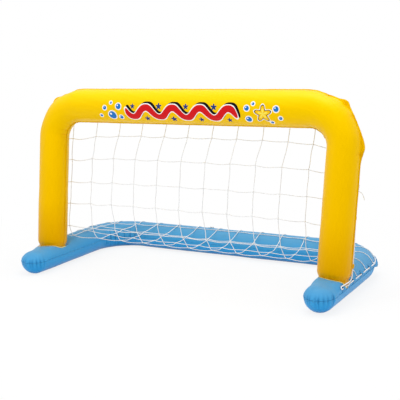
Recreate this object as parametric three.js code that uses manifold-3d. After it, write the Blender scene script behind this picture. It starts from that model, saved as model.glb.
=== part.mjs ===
// Inflatable water polo goal: a film arch welded on a U-shaped film base, with a knotted net laced
// round both by one border rope that runs through welded loops.
// Millimetres, +Z up. The goal mouth looks along -Y. The origin is on the floor, under the middle of
// the box that holds the part.
import * as THREE from "three";
import { mergeVertices } from "three/addons/utils/BufferGeometryUtils.js";
import Module from "manifold-3d";

const wasm = await Module();
wasm.setup();

// Points nearer to each other than this are one point of a mesh
const SAME_POINT = 0.0001;

// Film, seams and the clearances between touching pieces
const FILM = 0.8;
const TOUCH = 0.3;
const SEAM_GAP = 0.3;
const SEAM_LAP = 6;

// Spans, outwards from the middle: the arms' axes, the posts' feet on them and the posts' tops
const ARM_HALF_SPAN = 603;
const FOOT_OUTSET = 3;
const POST_SPLAY = 16;
const ARCH_FOOT_HALF_SPAN = ARM_HALF_SPAN + FOOT_OUTSET;
const ARCH_TOP_HALF_SPAN = ARCH_FOOT_HALF_SPAN + POST_SPLAY;

// Arch: two posts and a crossbar, one tube bent twice
const ARCH_HEIGHT = 653;
const ARCH_RAKE = 105;
const ARCH_BEND = 130;
const POST_RADIUS = 59;
const BAR_RADIUS = 64;
const POST_FOOT_RADIUS = 50;
const POST_TAPER = 60;
const FOOT_FULLNESS = 2.5;
const EAR_WIDTH = 9;
const EAR_LENGTH = 90;

// Base: two arms that end in round toes, and a rear tube between them
const BASE_RADIUS = 54.5;
const BASE_BEND = 160;
const TOE_REACH = 105;
const REAR_REACH = 448;
const FLOOR_FLAT = 1.5;

// Seat that each post's weld pulls into the top of its arm, and how much higher than its middle it is
// at the front and at the inner side of the weld
const SEAT_DEPTH = 25.5;
const SEAT_HEIGHT = 2 * BASE_RADIUS - FLOOR_FLAT - SEAT_DEPTH;
const SEAT_PITCH = 12;
const SEAT_ROLL = 6;
// Slopes of the arm's top away from the weld, up towards the rear and the sides and down to the toe
const SEAT_FLARE = 0.55;
const TOE_FLARE = -0.35;
const WELD_LAP = 5;
// How high above the arm's axis a post's tube starts, low enough for the arm to cut it
const FOOT_RISE = 12.5;

// Net and its border rope
const TWINE = 2.4;
const KNOT = 3.2;
const ROPE_RADIUS = 2.3;
const ROPE_LIFT = 1.5;
const NET_COLUMNS = 12;
const NET_INSET = 34;
const NET_BELLY = 32;
const NET_FLOOR_SAG = 25;
const NET_SKEW = 36;
// How near to its ends a row bends away from its middle: the higher, the nearer
const NET_CURL = 4;
// How far round the arch's bends the ends of the columns may be tied
const TOP_BEND_SHARE = 0.6;
const STRAND_CLEARANCE = 0.5;
const WRAP_CLEARANCE = 2.4;
// Heights of the hanging rows, as shares of the crossbar's height, at mid-span and at the posts
const HANGING_MIDDLE_SHARES = [0.82, 0.683, 0.536, 0.397, 0.228];
const HANGING_SIDE_SHARES = [0.785, 0.654, 0.515, 0.38, 0.24];
// How far each hanging row bellies forward, as shares of the net's belly
const BELLY_SHARES = [0.65, 1, 0.9, 0.4, -0.6];
// Places of the floor rows between the posts and the rear tube, as shares of the rear tube's reach
const FLOOR_MIDDLE_SHARES = [0.32, 0.55, 0.77, 0.96];
const FLOOR_SIDE_SHARES = [0.25, 0.47, 0.67, 0.84];
// How far each floor row sags below the base's top, as shares of the floor sag
const SAG_SHARES = [0.4, 1, 0.85, 0.1];
// How far the net is pulled to the left, as shares of its skew, row by row
const SKEW_SHARES = [1, 0.5, 0.4, 0.15, 0.3, 0.4, 0.1, -0.2, -0.3];
// Where the outer knots of the floor rows lie, inwards from the arm's axis, as shares of its radius
const FLOOR_INSET_SHARES = [0.5, 0.5, 0.6, 1.1];

// Welded loops that the border rope runs through
const LOOP_WIDTH = 16;
const LOOP_FOOT = 8;
const LOOP_SLACK = 1.6;
// How far the rope runs straight past the lowest loop of a post and the front loop of an arm
const LOOP_RUN = 17;
// Angles round the tubes at which the rope runs, from the outward direction towards the rear or the top
const BAR_ROPE_ANGLE = 101;
const POST_ROPE_ANGLE = 62;
const FOOT_ROPE_ANGLE = 32;
const ARM_ROPE_ANGLE = 14;
const REAR_ROPE_ANGLE = 30;
// Where the rope crosses a post's foot on its way to the arm: the angle, the height above the seat,
// and how much further than elsewhere it stands off the skin
const CROSSING_ANGLE = 0;
const CROSSING_RISE = 4;
const CROSSING_LIFT = 6;
// How much further the rope stands off where it runs back past a post's foot
const PASSING_LIFT = 2.5;
// Radius of the turn that the rope makes in front of the foremost loop of an arm
const ROPE_TURN = 4.5;
// Every how many of the net's columns the crossbar and the rear tube have a loop
const LOOP_EVERY = 2;
const LOOPS_EACH_WAY = 2;
// Places of the loops in the bends, and along the arms behind the posts, as shares of those lengths
const ARCH_BEND_LOOP_SHARE = 0.72;
const BASE_BEND_LOOP_SHARE = 0.5;
const ARM_LOOP_SHARES = [-0.1, 0.27, 0.57, 0.89];
// Heights of the posts' loops between the rows, as shares of the crossbar's height
const POST_LOOP_SHARES = [0.72, 0.444, 0.198];

// Inflation valves, one for each air chamber
const VALVE_FLANGE_RADIUS = 15;
const VALVE_STEM_RADIUS = 5.4;
const VALVE_BORE_RADIUS = 3.4;
const VALVE_HOLE_RADIUS = 6;
const VALVE_COLLAR_RADIUS = 8.2;
const VALVE_COLLAR = 1.4;
const VALVE_DEPTH = 15;
const VALVE_FLAP = 0.6;
const VALVE_LUG = 3;
const PLUG_RADIUS = 6.4;
const PLUG_HEAD = 1.8;
const PLUG_SPIGOT_RADIUS = 2.6;
const PLUG_SPIGOT = 3;
const PLUG_STRAP_WIDTH = 3.2;
const PLUG_PIVOT = 9.6;
const ARCH_VALVE_ANGLE = 50;
const ARCH_VALVE_REACH = 240;
const BASE_VALVE_ANGLE = 64;
const BASE_VALVE_REACH = 110;

// Knot that closes the border rope behind the right post, and its loose tails
const TIE_RADIUS = 5.2;
const TIE_SHARE = 0.585;
const TAIL_LENGTH = 46;
// How far each tail stands out and runs down the post, as shares of its length
const TAIL_SHARES = [
  [0.62, 0.72],
  [0.3, -0.5],
];
const TAIL_CURL_SHARE = 0.6;

// Facets
const HALF_SIDES = 8;
const BEND_STEPS = 7;
const TOE_STEPS = 5;
const SEAT_STEPS = 8;
const POST_ROPE_STEPS = 8;
const TURN_STEPS = 4;
const BEND_ROPE_STEPS = 12;
const ROUND_SIDES = 20;
const ROPE_SIDES = 6;
const LOOP_STEPS = 3;
const TAIL_STEPS = 5;
const WRAP_STEPS = 4;
const FINE_STEPS = 60;
const HALVINGS = 30;

const radians = THREE.MathUtils.degToRad;
const lerp = THREE.MathUtils.lerp;
const smoothstep = THREE.MathUtils.smoothstep;

const seamHalf = SEAM_GAP / 2;
const axisHeight = BASE_RADIUS - FLOOR_FLAT;
const lean = Math.atan2(ARCH_RAKE, ARCH_HEIGHT);
const footLap = FILM / 2;

// The part's depth runs from the lap round the toes, cut short by a film's width, to the lap round the
// rear tube.
const toeLapReach = BASE_RADIUS + SEAM_LAP - FILM;
const frontEdge = TOE_REACH + toeLapReach;
const rearEdge = REAR_REACH + BASE_RADIUS + SEAM_LAP;
const postPlane = (frontEdge - rearEdge) / 2;

// Materials
const yellowFilm = new THREE.MeshStandardMaterial({ color: 0xf7c304, roughness: 0.32, metalness: 0 });
const blueFilm = new THREE.MeshStandardMaterial({ color: 0x3f9ad6, roughness: 0.34, metalness: 0 });
const whiteTwine = new THREE.MeshStandardMaterial({ color: 0xf2f2ee, roughness: 0.85, metalness: 0 });
const clearVinyl = new THREE.MeshStandardMaterial({ color: 0xdfe6ea, roughness: 0.4, metalness: 0 });

const goal = new THREE.Group();

function addMesh(name, geometry, material) {
  const mesh = new THREE.Mesh(geometry, material);
  mesh.name = name;
  goal.add(mesh);
  return mesh;
}

// Meshes as closed solids

// A geometry from points and triangles, turned so that its faces point out.
function closedGeometry(points, triangles) {
  let volume = 0;
  const side = new THREE.Vector3();
  for (const [a, b, c] of triangles) volume += points[a].dot(side.crossVectors(points[b], points[c]));
  const faces = volume < 0 ? triangles.map(([a, b, c]) => [a, c, b]) : triangles;
  const geometry = new THREE.BufferGeometry();
  const positions = points.flatMap((p) => [p.x, p.y, p.z]);
  geometry.setAttribute("position", new THREE.Float32BufferAttribute(positions, 3));
  geometry.setIndex(faces.flat());
  geometry.computeVertexNormals();
  return geometry;
}

function toSolid(geometry) {
  const bare = geometry.clone();
  bare.deleteAttribute("normal");
  bare.deleteAttribute("uv");
  const merged = mergeVertices(bare, SAME_POINT);
  const vertProperties = new Float32Array(merged.attributes.position.array);
  const triVerts = new Uint32Array(merged.index.array);
  return new wasm.Manifold(new wasm.Mesh({ numProp: 3, vertProperties, triVerts }));
}

function fromSolid(solid) {
  const mesh = solid.getMesh();
  const geometry = new THREE.BufferGeometry();
  const positions = [];
  for (let i = 0; i < mesh.numVert; i++) {
    positions.push(...mesh.vertProperties.slice(i * mesh.numProp, i * mesh.numProp + 3));
  }
  geometry.setAttribute("position", new THREE.Float32BufferAttribute(positions, 3));
  geometry.setIndex(Array.from(mesh.triVerts));
  geometry.computeVertexNormals();
  return geometry;
}

// The largest body of a solid, without the slivers that a cut can leave.
function largestBody(solid) {
  return solid.decompose().sort((a, b) => b.volume() - a.volume())[0];
}

// A loop of points carried along stations, closed by a strip across each end.
// The loop is a front list and a back list of equal length, so that each end is a row of quads.
// Quads that face each other in front and back are split the same way, so that a thin wall stays open.
function sweptStrip(sections) {
  const points = [];
  const triangles = [];
  const half = sections[0].front.length;
  const ring = 2 * half;
  for (const { front, back } of sections) points.push(...front, ...[...back].reverse());
  for (let i = 0; i + 1 < sections.length; i++) {
    for (let k = 0; k < ring; k++) {
      const next = (k + 1) % ring;
      const [a, b] = [i * ring + k, i * ring + next];
      const [c, d] = [a + ring, b + ring];
      if (k < half) triangles.push([a, b, d], [a, d, c]);
      else triangles.push([a, b, c], [b, d, c]);
    }
  }
  const last = (sections.length - 1) * ring;
  for (let k = 0; k + 1 < half; k++) {
    const [a, b, c, d] = [k, k + 1, ring - 2 - k, ring - 1 - k];
    triangles.push([b, a, d], [b, d, c]);
    triangles.push([last + a, last + b, last + c], [last + a, last + c, last + d]);
  }
  return closedGeometry(points, triangles);
}

// A round tube along points, with flat ends, or none where the path closes on itself.
function sweptTube(path, radius, sides, closed = false) {
  const points = [];
  const triangles = [];
  const count = path.length;
  let normal = new THREE.Vector3(0, 0, 1);
  path.forEach((p, i) => {
    const before = path[closed ? (i + count - 1) % count : Math.max(i - 1, 0)];
    const after = path[closed ? (i + 1) % count : Math.min(i + 1, count - 1)];
    const along = after.clone().sub(before).normalize();
    normal = normal.clone().addScaledVector(along, -normal.dot(along)).normalize();
    const across = along.clone().cross(normal);
    for (let k = 0; k < sides; k++) {
      const turn = (2 * Math.PI * k) / sides;
      const spoke = normal.clone().multiplyScalar(Math.cos(turn)).addScaledVector(across, Math.sin(turn));
      points.push(p.clone().addScaledVector(spoke, radius));
    }
  });
  // Where the path closes, the last ring meets the first with the smallest turn between their points.
  let shift = 0;
  if (closed) {
    const lastRing = (count - 1) * sides;
    const gapAt = (s) => points[lastRing].distanceTo(points[s % sides]);
    for (let s = 1; s < sides; s++) if (gapAt(s) < gapAt(shift)) shift = s;
  }
  for (let i = 0; i < (closed ? count : count - 1); i++) {
    const turned = i === count - 1 ? shift : 0;
    const next = ((i + 1) % count) * sides;
    for (let k = 0; k < sides; k++) {
      const [a, b] = [i * sides + k, i * sides + ((k + 1) % sides)];
      const [c, d] = [next + ((k + turned) % sides), next + ((k + 1 + turned) % sides)];
      triangles.push([a, b, d], [a, d, c]);
    }
  }
  if (!closed) {
    const last = (count - 1) * sides;
    for (let k = 1; k + 1 < sides; k++) {
      triangles.push([0, k + 1, k], [last, last + k, last + k + 1]);
    }
  }
  return closedGeometry(points, triangles);
}

// Centrelines

// A U in a plane, measured from the middle of its bar: positive distances run down the right leg.
function uPath(topHalf, footHalf, height, bend) {
  const splay = Math.atan2(topHalf - footHalf, height);
  const turn = Math.PI / 2 + splay;
  const tangent = bend * Math.tan(turn / 2);
  const barEnd = topHalf - tangent;
  const bendEnd = barEnd + bend * turn;
  const legLength = height / Math.cos(splay) - tangent;
  function at(distance) {
    const side = distance < 0 ? -1 : 1;
    const run = Math.abs(distance);
    if (run <= barEnd) return { x: distance, h: height, tx: 1, th: 0 };
    const angle = Math.min((run - barEnd) / bend, turn);
    const rest = Math.max(run - bendEnd, 0);
    const x = barEnd + bend * Math.sin(angle) + rest * Math.cos(angle);
    const h = height - bend + bend * Math.cos(angle) - rest * Math.sin(angle);
    return { x: side * x, h, tx: Math.cos(angle), th: -side * Math.sin(angle) };
  }
  return { at, barEnd, bendEnd, end: bendEnd + legLength, legLength };
}

// Lifts a place on a plane path into space: the outward and the normal direction span the section.
function lift(plane, flat) {
  const { origin, up, normal } = plane;
  const across = new THREE.Vector3(1, 0, 0);
  return {
    centre: origin.clone().addScaledVector(across, flat.x).addScaledVector(up, flat.h),
    along: across.clone().multiplyScalar(flat.tx).addScaledVector(up, flat.th),
    out: across.clone().multiplyScalar(-flat.th).addScaledVector(up, flat.tx),
    normal,
  };
}

// A point beside a station, at an angle from its outward direction towards its normal.
function beside(station, angle, distance) {
  return station.centre
    .clone()
    .addScaledVector(station.out, distance * Math.cos(angle))
    .addScaledVector(station.normal, distance * Math.sin(angle));
}

function spread(from, to, steps) {
  return Array.from({ length: steps + 1 }, (_, i) => lerp(from, to, i / steps));
}

// The same distances on both sides of the middle, in order and each only once.
function bothWays(distances, nearest) {
  const all = distances.flatMap((d) => [-d, d]).sort((a, b) => a - b);
  return all.filter((d, i) => i === 0 || d - all[i - 1] > nearest);
}

const archPlane = {
  origin: new THREE.Vector3(0, postPlane, 0),
  up: new THREE.Vector3(0, Math.sin(lean), Math.cos(lean)),
  normal: new THREE.Vector3(0, Math.cos(lean), -Math.sin(lean)),
};
const archPath = uPath(ARCH_TOP_HALF_SPAN, ARCH_FOOT_HALF_SPAN, ARCH_HEIGHT / Math.cos(lean), ARCH_BEND);

const basePlane = {
  origin: new THREE.Vector3(0, postPlane - TOE_REACH, axisHeight),
  up: new THREE.Vector3(0, 1, 0),
  normal: new THREE.Vector3(0, 0, 1),
};
const basePath = uPath(ARM_HALF_SPAN, ARM_HALF_SPAN, TOE_REACH + REAR_REACH, BASE_BEND);

// Arch stations

// The post starts inside the arm that it is then cut by.
const postStartHeight = axisHeight + FOOT_RISE;
const postStart = archPath.end - postStartHeight / Math.cos(lean);
const seatRun = (SEAT_HEIGHT - postStartHeight) / Math.cos(lean);

function archRadius(distance) {
  const run = Math.abs(distance);
  const straight = lerp(BAR_RADIUS, POST_RADIUS, smoothstep(run, archPath.barEnd, archPath.bendEnd));
  const foot = smoothstep(run, postStart - POST_TAPER, postStart - seatRun);
  return lerp(straight, POST_FOOT_RADIUS, foot ** FOOT_FULLNESS);
}

function archStation(distance) {
  const station = lift(archPlane, archPath.at(distance));
  const run = Math.abs(distance);
  const bendMiddle = (archPath.barEnd + archPath.bendEnd) / 2;
  const ear = EAR_WIDTH * Math.max(0, 1 - ((run - bendMiddle) / EAR_LENGTH) ** 2);
  const footFade = smoothstep(run, postStart - POST_TAPER, postStart - POST_TAPER / 2);
  station.radius = archRadius(distance);
  station.lapOut = lerp(SEAM_LAP + ear, footLap, footFade);
  station.lapIn = lerp(SEAM_LAP, footLap, footFade);
  station.distance = distance;
  return station;
}

// The outer columns hang a little inside the posts' feet.
const netHalfWidth = ARCH_FOOT_HALF_SPAN - NET_INSET;
const columnPitch = (2 * netHalfWidth) / (NET_COLUMNS - 1);
const pitchedLoops = spread(0, LOOP_EVERY * LOOPS_EACH_WAY * columnPitch, LOOPS_EACH_WAY);
const barLoops = pitchedLoops;
const archBendLoop = lerp(archPath.barEnd, archPath.bendEnd, ARCH_BEND_LOOP_SHARE);
const postLoops = POST_LOOP_SHARES.map((share) => archPath.end - (share * ARCH_HEIGHT) / Math.cos(lean));
const archBendDistances = spread(archPath.barEnd, archPath.bendEnd, BEND_STEPS);
const archStations = bothWays(
  [...archBendDistances, ...spread(postStart - POST_TAPER, postStart, TOE_STEPS)],
  FILM,
).map(archStation);

// Base stations

const toeStart = basePath.end;
// Distance along the base from the rear tube's middle to the foot of a post
const postOnArm = basePath.end - TOE_REACH;

// Beyond the leg's end the toe's round nose closes the tube.
function baseStation(distance) {
  const station = lift(basePlane, basePath.at(distance));
  const past = Math.max(Math.abs(distance) - toeStart, 0);
  const lapped = BASE_RADIUS + SEAM_LAP;
  const radius = Math.sqrt(Math.max(BASE_RADIUS ** 2 - past ** 2, 0));
  const edge = Math.sqrt(Math.max(lapped ** 2 - past ** 2, 0));
  station.radius = Math.max(radius, FILM);
  station.lapOut = Math.max(edge - station.radius, FILM);
  station.lapIn = station.lapOut;
  station.distance = distance;
  return station;
}

const armLoops = ARM_LOOP_SHARES.map((share) => lerp(postOnArm, basePath.bendEnd, share));
const baseBendLoop = lerp(basePath.barEnd, basePath.bendEnd, BASE_BEND_LOOP_SHARE);
const rearLoops = pitchedLoops;
const seatReach = POST_FOOT_RADIUS + WELD_LAP + (2 * axisHeight - SEAT_HEIGHT) / SEAT_FLARE;
const seatDistances = spread(postOnArm - seatReach, Math.min(postOnArm + seatReach, toeStart), SEAT_STEPS);
const toeDistances = spread(0, Math.PI / 2, TOE_STEPS).map((a) => toeStart + BASE_RADIUS * Math.sin(a));
const baseBendDistances = spread(basePath.barEnd, basePath.bendEnd, BEND_STEPS);
const plainBaseDistances = [...baseBendDistances, ...toeDistances, toeStart + toeLapReach];
const lowerStations = bothWays(plainBaseDistances, FILM).map(baseStation);
const upperStations = bothWays([...plainBaseDistances, ...seatDistances], FILM).map(baseStation);

// How high the base's film may stand near a post: a low tilted plane inside the weld, and slopes round it.
function seatCeiling(x, y) {
  const dx = Math.abs(x) - ARCH_FOOT_HALF_SPAN;
  const dy = y - postPlane - axisHeight * Math.tan(lean);
  const reach = Math.hypot(dx, dy);
  const away = Math.max(reach - POST_FOOT_RADIUS - WELD_LAP, 0);
  const flare = lerp(SEAT_FLARE, TOE_FLARE, Math.max(-dy, 0) / Math.max(reach, FILM));
  const tilt = (SEAT_PITCH * dy + SEAT_ROLL * dx) / Math.max(reach, POST_FOOT_RADIUS);
  return SEAT_HEIGHT - tilt + flare * away;
}

function seated(point, drop = 0) {
  const ceiling = seatCeiling(point.x, point.y) - drop;
  if (point.z > ceiling && Math.abs(point.x) > ARM_HALF_SPAN - BASE_RADIUS - SEAM_LAP) {
    point.z = Math.max(ceiling, axisHeight + seamHalf + FILM - drop);
  }
  return point;
}

// Film shells

// Angles of a half round, with a flat chord of the given half angle at its middle.
function halfAngles(flatHalf) {
  if (flatHalf === 0) return spread(0, Math.PI, HALF_SIDES);
  const quarter = spread(0, Math.PI / 2 - flatHalf, HALF_SIDES / 2);
  return [...quarter, ...quarter.map((a) => Math.PI - a).reverse()];
}

const roundAngles = halfAngles(0);
const flattenedAngles = halfAngles(Math.acos(1 - FLOOR_FLAT / BASE_RADIUS));

// One half of a tube's skin with its seam laps: the side is 1 towards the normal and -1 away from it.
function halfShell(stations, side, angles, shape) {
  const sections = stations.map((station) => {
    const { radius, lapOut, lapIn } = station;
    const innerRadius = Math.max(radius - FILM, radius / 2);
    const place = (out, rise) =>
      station.centre.clone().addScaledVector(station.out, out).addScaledVector(station.normal, side * rise);
    const arc = (r, least) => angles.map((a) => place(r * Math.cos(a), Math.max(r * Math.sin(a), least)));
    const outside = seamHalf + FILM;
    const [outerEdge, innerEdge] = [radius + lapOut, -radius - lapIn];
    const edged = (r, least) => [place(outerEdge, least), ...arc(r, least), place(innerEdge, least)];
    const [front, back] = [edged(radius, outside), edged(innerRadius, seamHalf)];
    return { front: front.map((p) => shape(p, 0)), back: back.map((p) => shape(p, FILM)) };
  });
  return sweptStrip(sections);
}

// The space inside a tube's skin, grown by a margin: what stands on the skin is cut by it.
function tubeBody(stations, grow, shape) {
  const sections = stations.map((station) => {
    const edge = seamHalf + FILM;
    const upper = roundAngles.map((angle) => {
      const skin = beside(station, angle, station.radius);
      const rise = Math.max(edge - station.radius * Math.sin(angle), 0);
      const before = skin.addScaledVector(station.normal, rise).clone();
      const after = shape(skin, 0);
      const lowered = after.distanceTo(before) > 0;
      const push = lowered ? grow : grow * Math.sin(angle);
      return after.addScaledVector(station.out, grow * Math.cos(angle)).addScaledVector(station.normal, push);
    });
    const lower = roundAngles.map((angle) => beside(station, -angle, station.radius + grow));
    return { front: upper, back: lower };
  });
  return toSolid(sweptStrip(sections));
}

const unshaped = (point) => point;
const archFront = toSolid(halfShell(archStations, -1, roundAngles, unshaped));
const archBack = toSolid(halfShell(archStations, 1, roundAngles, unshaped));

// Arms as bodies, to cut the posts' feet and to lay films on
function armBody(side, grow) {
  const reach = seatReach + WELD_LAP;
  const near = upperStations.filter((s) => {
    const run = s.distance * side;
    return run > basePath.bendEnd && run <= toeStart && Math.abs(run - postOnArm) < reach;
  });
  return tubeBody(near, grow, seated);
}

// A length of post, as a solid of round section
function postBody(side, grow) {
  const near = archStations.filter((s) => s.distance * side >= postStart - POST_TAPER);
  return tubeBody(near, grow, unshaped);
}

const sides = [
  ["left", -1],
  ["right", 1],
];
let frontPanel = archFront;
let backPanel = archBack;
for (const [name, side] of sides) {
  const cutter = armBody(side, TOUCH);
  const layer = armBody(side, TOUCH + FILM).subtract(cutter);
  frontPanel = frontPanel.subtract(cutter);
  backPanel = backPanel.subtract(cutter);
  const sole = layer.intersect(postBody(side, -FILM - TOUCH));
  const weldInner = footLap + TOUCH;
  const weld = layer.intersect(postBody(side, weldInner + WELD_LAP)).subtract(postBody(side, weldInner));
  addMesh(name + "_post_sole", fromSolid(largestBody(sole)), yellowFilm);
  addMesh(name + "_post_weld", fromSolid(largestBody(weld)), yellowFilm);
}

// Valves

// A round solid along +Z, from one height to another.
function disc(radius, low, high, sidesCount = ROUND_SIDES) {
  const geometry = new THREE.CylinderGeometry(radius, radius, high - low, sidesCount);
  geometry.rotateX(Math.PI / 2);
  geometry.translate(0, 0, (low + high) / 2);
  return toSolid(geometry);
}

function block(x0, x1, y0, y1, z0, z1) {
  const geometry = new THREE.BoxGeometry(x1 - x0, y1 - y0, z1 - z0);
  geometry.translate((x0 + x1) / 2, (y0 + y1) / 2, (z0 + z1) / 2);
  return toSolid(geometry);
}

// Each valve has its own frame: Z out of the skin, X along the tube, zero on the skin.
function addValve(name, station, angle, skinStations) {
  const outwards = beside(station, angle, 1).sub(station.centre).normalize();
  const frame = new THREE.Matrix4().makeBasis(
    station.along,
    outwards.clone().cross(station.along),
    outwards,
  );
  frame.setPosition(beside(station, angle, station.radius));
  const placed = (solid) => fromSolid(solid).applyMatrix4(frame);
  const hole = toSolid(placed(disc(VALVE_HOLE_RADIUS, -2 * VALVE_DEPTH, VALVE_DEPTH)));

  const underside = tubeBody(skinStations, TOUCH, unshaped);
  const layer = tubeBody(skinStations, TOUCH + FILM, unshaped).subtract(underside);
  const patch = toSolid(placed(disc(VALVE_FLANGE_RADIUS, -VALVE_DEPTH, VALVE_DEPTH)));
  addMesh(name + "_valve_flange", fromSolid(layer.intersect(patch).subtract(hole)), clearVinyl);

  const collarLow = FILM + 2 * TOUCH;
  const collarTop = collarLow + VALVE_COLLAR;
  const earTop = collarTop + TOUCH + PLUG_HEAD;
  const earInner = PLUG_STRAP_WIDTH / 2 + TOUCH;
  const earOuter = earInner + FILM;
  const tongueEnd = PLUG_PIVOT + VALVE_LUG / 2;
  const stem = disc(VALVE_STEM_RADIUS, -VALVE_DEPTH, collarTop)
    .add(disc(VALVE_COLLAR_RADIUS, collarLow, collarTop))
    .add(block(0, tongueEnd, -earOuter, earOuter, collarLow, collarTop))
    .add(block(PLUG_PIVOT - VALVE_LUG / 2, tongueEnd, earInner, earOuter, collarTop - FILM, earTop))
    .add(block(PLUG_PIVOT - VALVE_LUG / 2, tongueEnd, -earOuter, -earInner, collarTop - FILM, earTop))
    .subtract(disc(VALVE_BORE_RADIUS, -2 * VALVE_DEPTH, earTop));
  addMesh(name + "_valve_stem", placed(stem), clearVinyl);

  const flap = disc(VALVE_STEM_RADIUS, -VALVE_DEPTH - TOUCH - VALVE_FLAP, -VALVE_DEPTH - TOUCH);
  addMesh(name + "_valve_flap", placed(flap), clearVinyl);

  const headLow = collarTop + TOUCH;
  const headTop = headLow + PLUG_HEAD;
  const plug = disc(PLUG_RADIUS, headLow, headTop)
    .add(disc(PLUG_SPIGOT_RADIUS, headLow - PLUG_SPIGOT, headLow + PLUG_HEAD / 2))
    .add(block(0, PLUG_PIVOT, -PLUG_STRAP_WIDTH / 2, PLUG_STRAP_WIDTH / 2, headLow + FILM / 2, headTop));
  addMesh(name + "_valve_plug", placed(plug), clearVinyl);
  return hole;
}

const archValveStation = archStation(-ARCH_VALVE_REACH);
const archSkin = [-archPath.barEnd, archPath.barEnd].map(archStation);
const archValveHole = addValve("arch", archValveStation, radians(ARCH_VALVE_ANGLE), archSkin);
const baseValveStation = baseStation(-BASE_VALVE_REACH);
const baseSkin = [-basePath.barEnd, basePath.barEnd].map(baseStation);
const baseValveHole = addValve("base", baseValveStation, radians(BASE_VALVE_ANGLE), baseSkin);

// Skins
const baseUpper = toSolid(halfShell(upperStations, 1, roundAngles, seated));
const baseLower = halfShell(lowerStations, -1, flattenedAngles, unshaped);
addMesh("arch_front_panel", fromSolid(frontPanel), yellowFilm);
addMesh("arch_back_panel", fromSolid(backPanel.subtract(archValveHole)), yellowFilm);
addMesh("base_upper_panel", fromSolid(baseUpper.subtract(baseValveHole)), blueFilm);
addMesh("base_lower_panel", baseLower, blueFilm);

// Border rope

const ropeOffset = ROPE_LIFT + ROPE_RADIUS;

function archRopeAngle(distance) {
  const run = Math.abs(distance);
  const turned = smoothstep(run, archPath.barEnd, archBendLoop - LOOP_WIDTH);
  const lowered = smoothstep(run, postLoops[0], postLoops.at(-1) - LOOP_WIDTH);
  return radians(lerp(lerp(BAR_ROPE_ANGLE, POST_ROPE_ANGLE, turned), FOOT_ROPE_ANGLE, lowered));
}

function baseRopeAngle(distance) {
  const turned = smoothstep(Math.abs(distance), basePath.barEnd, basePath.bendEnd);
  return radians(lerp(REAR_ROPE_ANGLE, ARM_ROPE_ANGLE, turned));
}

// The rope has rings of its own at each loop, and none of its other rings close to them.
function ropeDistances(distances, loops, end) {
  const apart = distances.filter((d) => loops.every((l) => Math.abs(d - l) > LOOP_WIDTH));
  const near = loops.flatMap((l) => [l - LOOP_WIDTH, l, l + LOOP_WIDTH]);
  return bothWays([...apart, ...near].filter((d) => d <= end), FILM);
}

const archLoops = [...barLoops, archBendLoop, ...postLoops];
const baseLoops = [...rearLoops, baseBendLoop, ...armLoops];
const onArch = (distance, turn = 0, lift = ropeOffset) => {
  const station = archStation(distance);
  return beside(station, archRopeAngle(distance) + turn, station.radius + lift);
};
const onBase = (distance, turn = 0, lift = ropeOffset) => {
  const station = baseStation(distance);
  return beside(station, baseRopeAngle(distance) + turn, station.radius + lift);
};
const postRopeDistances = spread(archPath.bendEnd, postLoops.at(-1), POST_ROPE_STEPS);
const postRopeEnd = postLoops.at(-1) + LOOP_WIDTH;
const armRopeEnd = armLoops[0] + LOOP_RUN;
const bendRopeDistances = spread(archPath.barEnd, archPath.bendEnd, BEND_ROPE_STEPS);
const archRopeDistances = [...bendRopeDistances, ...postRopeDistances, postRopeEnd];
const tieDistance = archPath.end - (TIE_SHARE * ARCH_HEIGHT) / Math.cos(lean);
const heldPlaces = [...archLoops, tieDistance];
const archRope = ropeDistances(archRopeDistances, heldPlaces, postRopeEnd).map((d) => onArch(d));
const passing = postOnArm - axisHeight * Math.tan(lean);
const passingLift = (distance) =>
  PASSING_LIFT * (1 - smoothstep(Math.abs(Math.abs(distance) - passing), 0, LOOP_WIDTH));
const baseRope = ropeDistances([...baseBendDistances, passing], baseLoops, armRopeEnd).map((d) =>
  onBase(d, 0, ropeOffset + passingLift(d)),
);

// From the arch the rope crosses the post's foot, turns in front of the arm's foremost loop and runs
// back through it.
function turnAtFoot(side) {
  const crossing = archStation(side * (postStart - seatRun - CROSSING_RISE));
  const over = beside(crossing, radians(CROSSING_ANGLE), crossing.radius + ropeOffset + CROSSING_LIFT);
  const turn = spread(0, Math.PI, TURN_STEPS).slice(0, -1);
  const round = turn.map((t) => {
    const up = (ROPE_TURN * (1 + Math.cos(t))) / BASE_RADIUS;
    return onBase(side * (armRopeEnd + ROPE_TURN * Math.sin(t)), up);
  });
  return [over, ...round];
}

const ropePath = [...archRope, ...turnAtFoot(1), ...[...baseRope].reverse(), ...turnAtFoot(-1).reverse()];
addMesh("border_rope", sweptTube(ropePath, ROPE_RADIUS, ROPE_SIDES, true), whiteTwine);

// The knot that closes the rope: a collar round it, flat where it lies on the post, with two loose tails
const tieStation = archStation(tieDistance);
const tieCentre = onArch(tieDistance);
const tieAway = tieCentre.clone().sub(tieStation.centre).normalize();
const tieAlong = onArch(tieDistance + TIE_RADIUS).sub(onArch(tieDistance - TIE_RADIUS)).normalize();
const alongTie = (out, down) =>
  tieCentre.clone().addScaledVector(tieAway, out).addScaledVector(tieAlong, down);
const collar = (radius, half) =>
  toSolid(sweptTube([alongTie(0, -half), alongTie(0, half)], radius, 2 * ROPE_SIDES));
const tailRoot = (ROPE_RADIUS + TOUCH + TIE_RADIUS) / 2;
const tails = TAIL_SHARES.map(([outShare, dropShare]) => {
  const line = spread(0, 1, TAIL_STEPS).map((share) => {
    const out = tailRoot + TAIL_LENGTH * outShare * Math.sin(share * Math.PI * TAIL_CURL_SHARE);
    return alongTie(out, TAIL_LENGTH * dropShare * share ** 2);
  });
  return toSolid(sweptTube(line, TWINE / 2, ROPE_SIDES));
});
const postLeg = [archPath.bendEnd, postStart - POST_TAPER].map(archStation);
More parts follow.
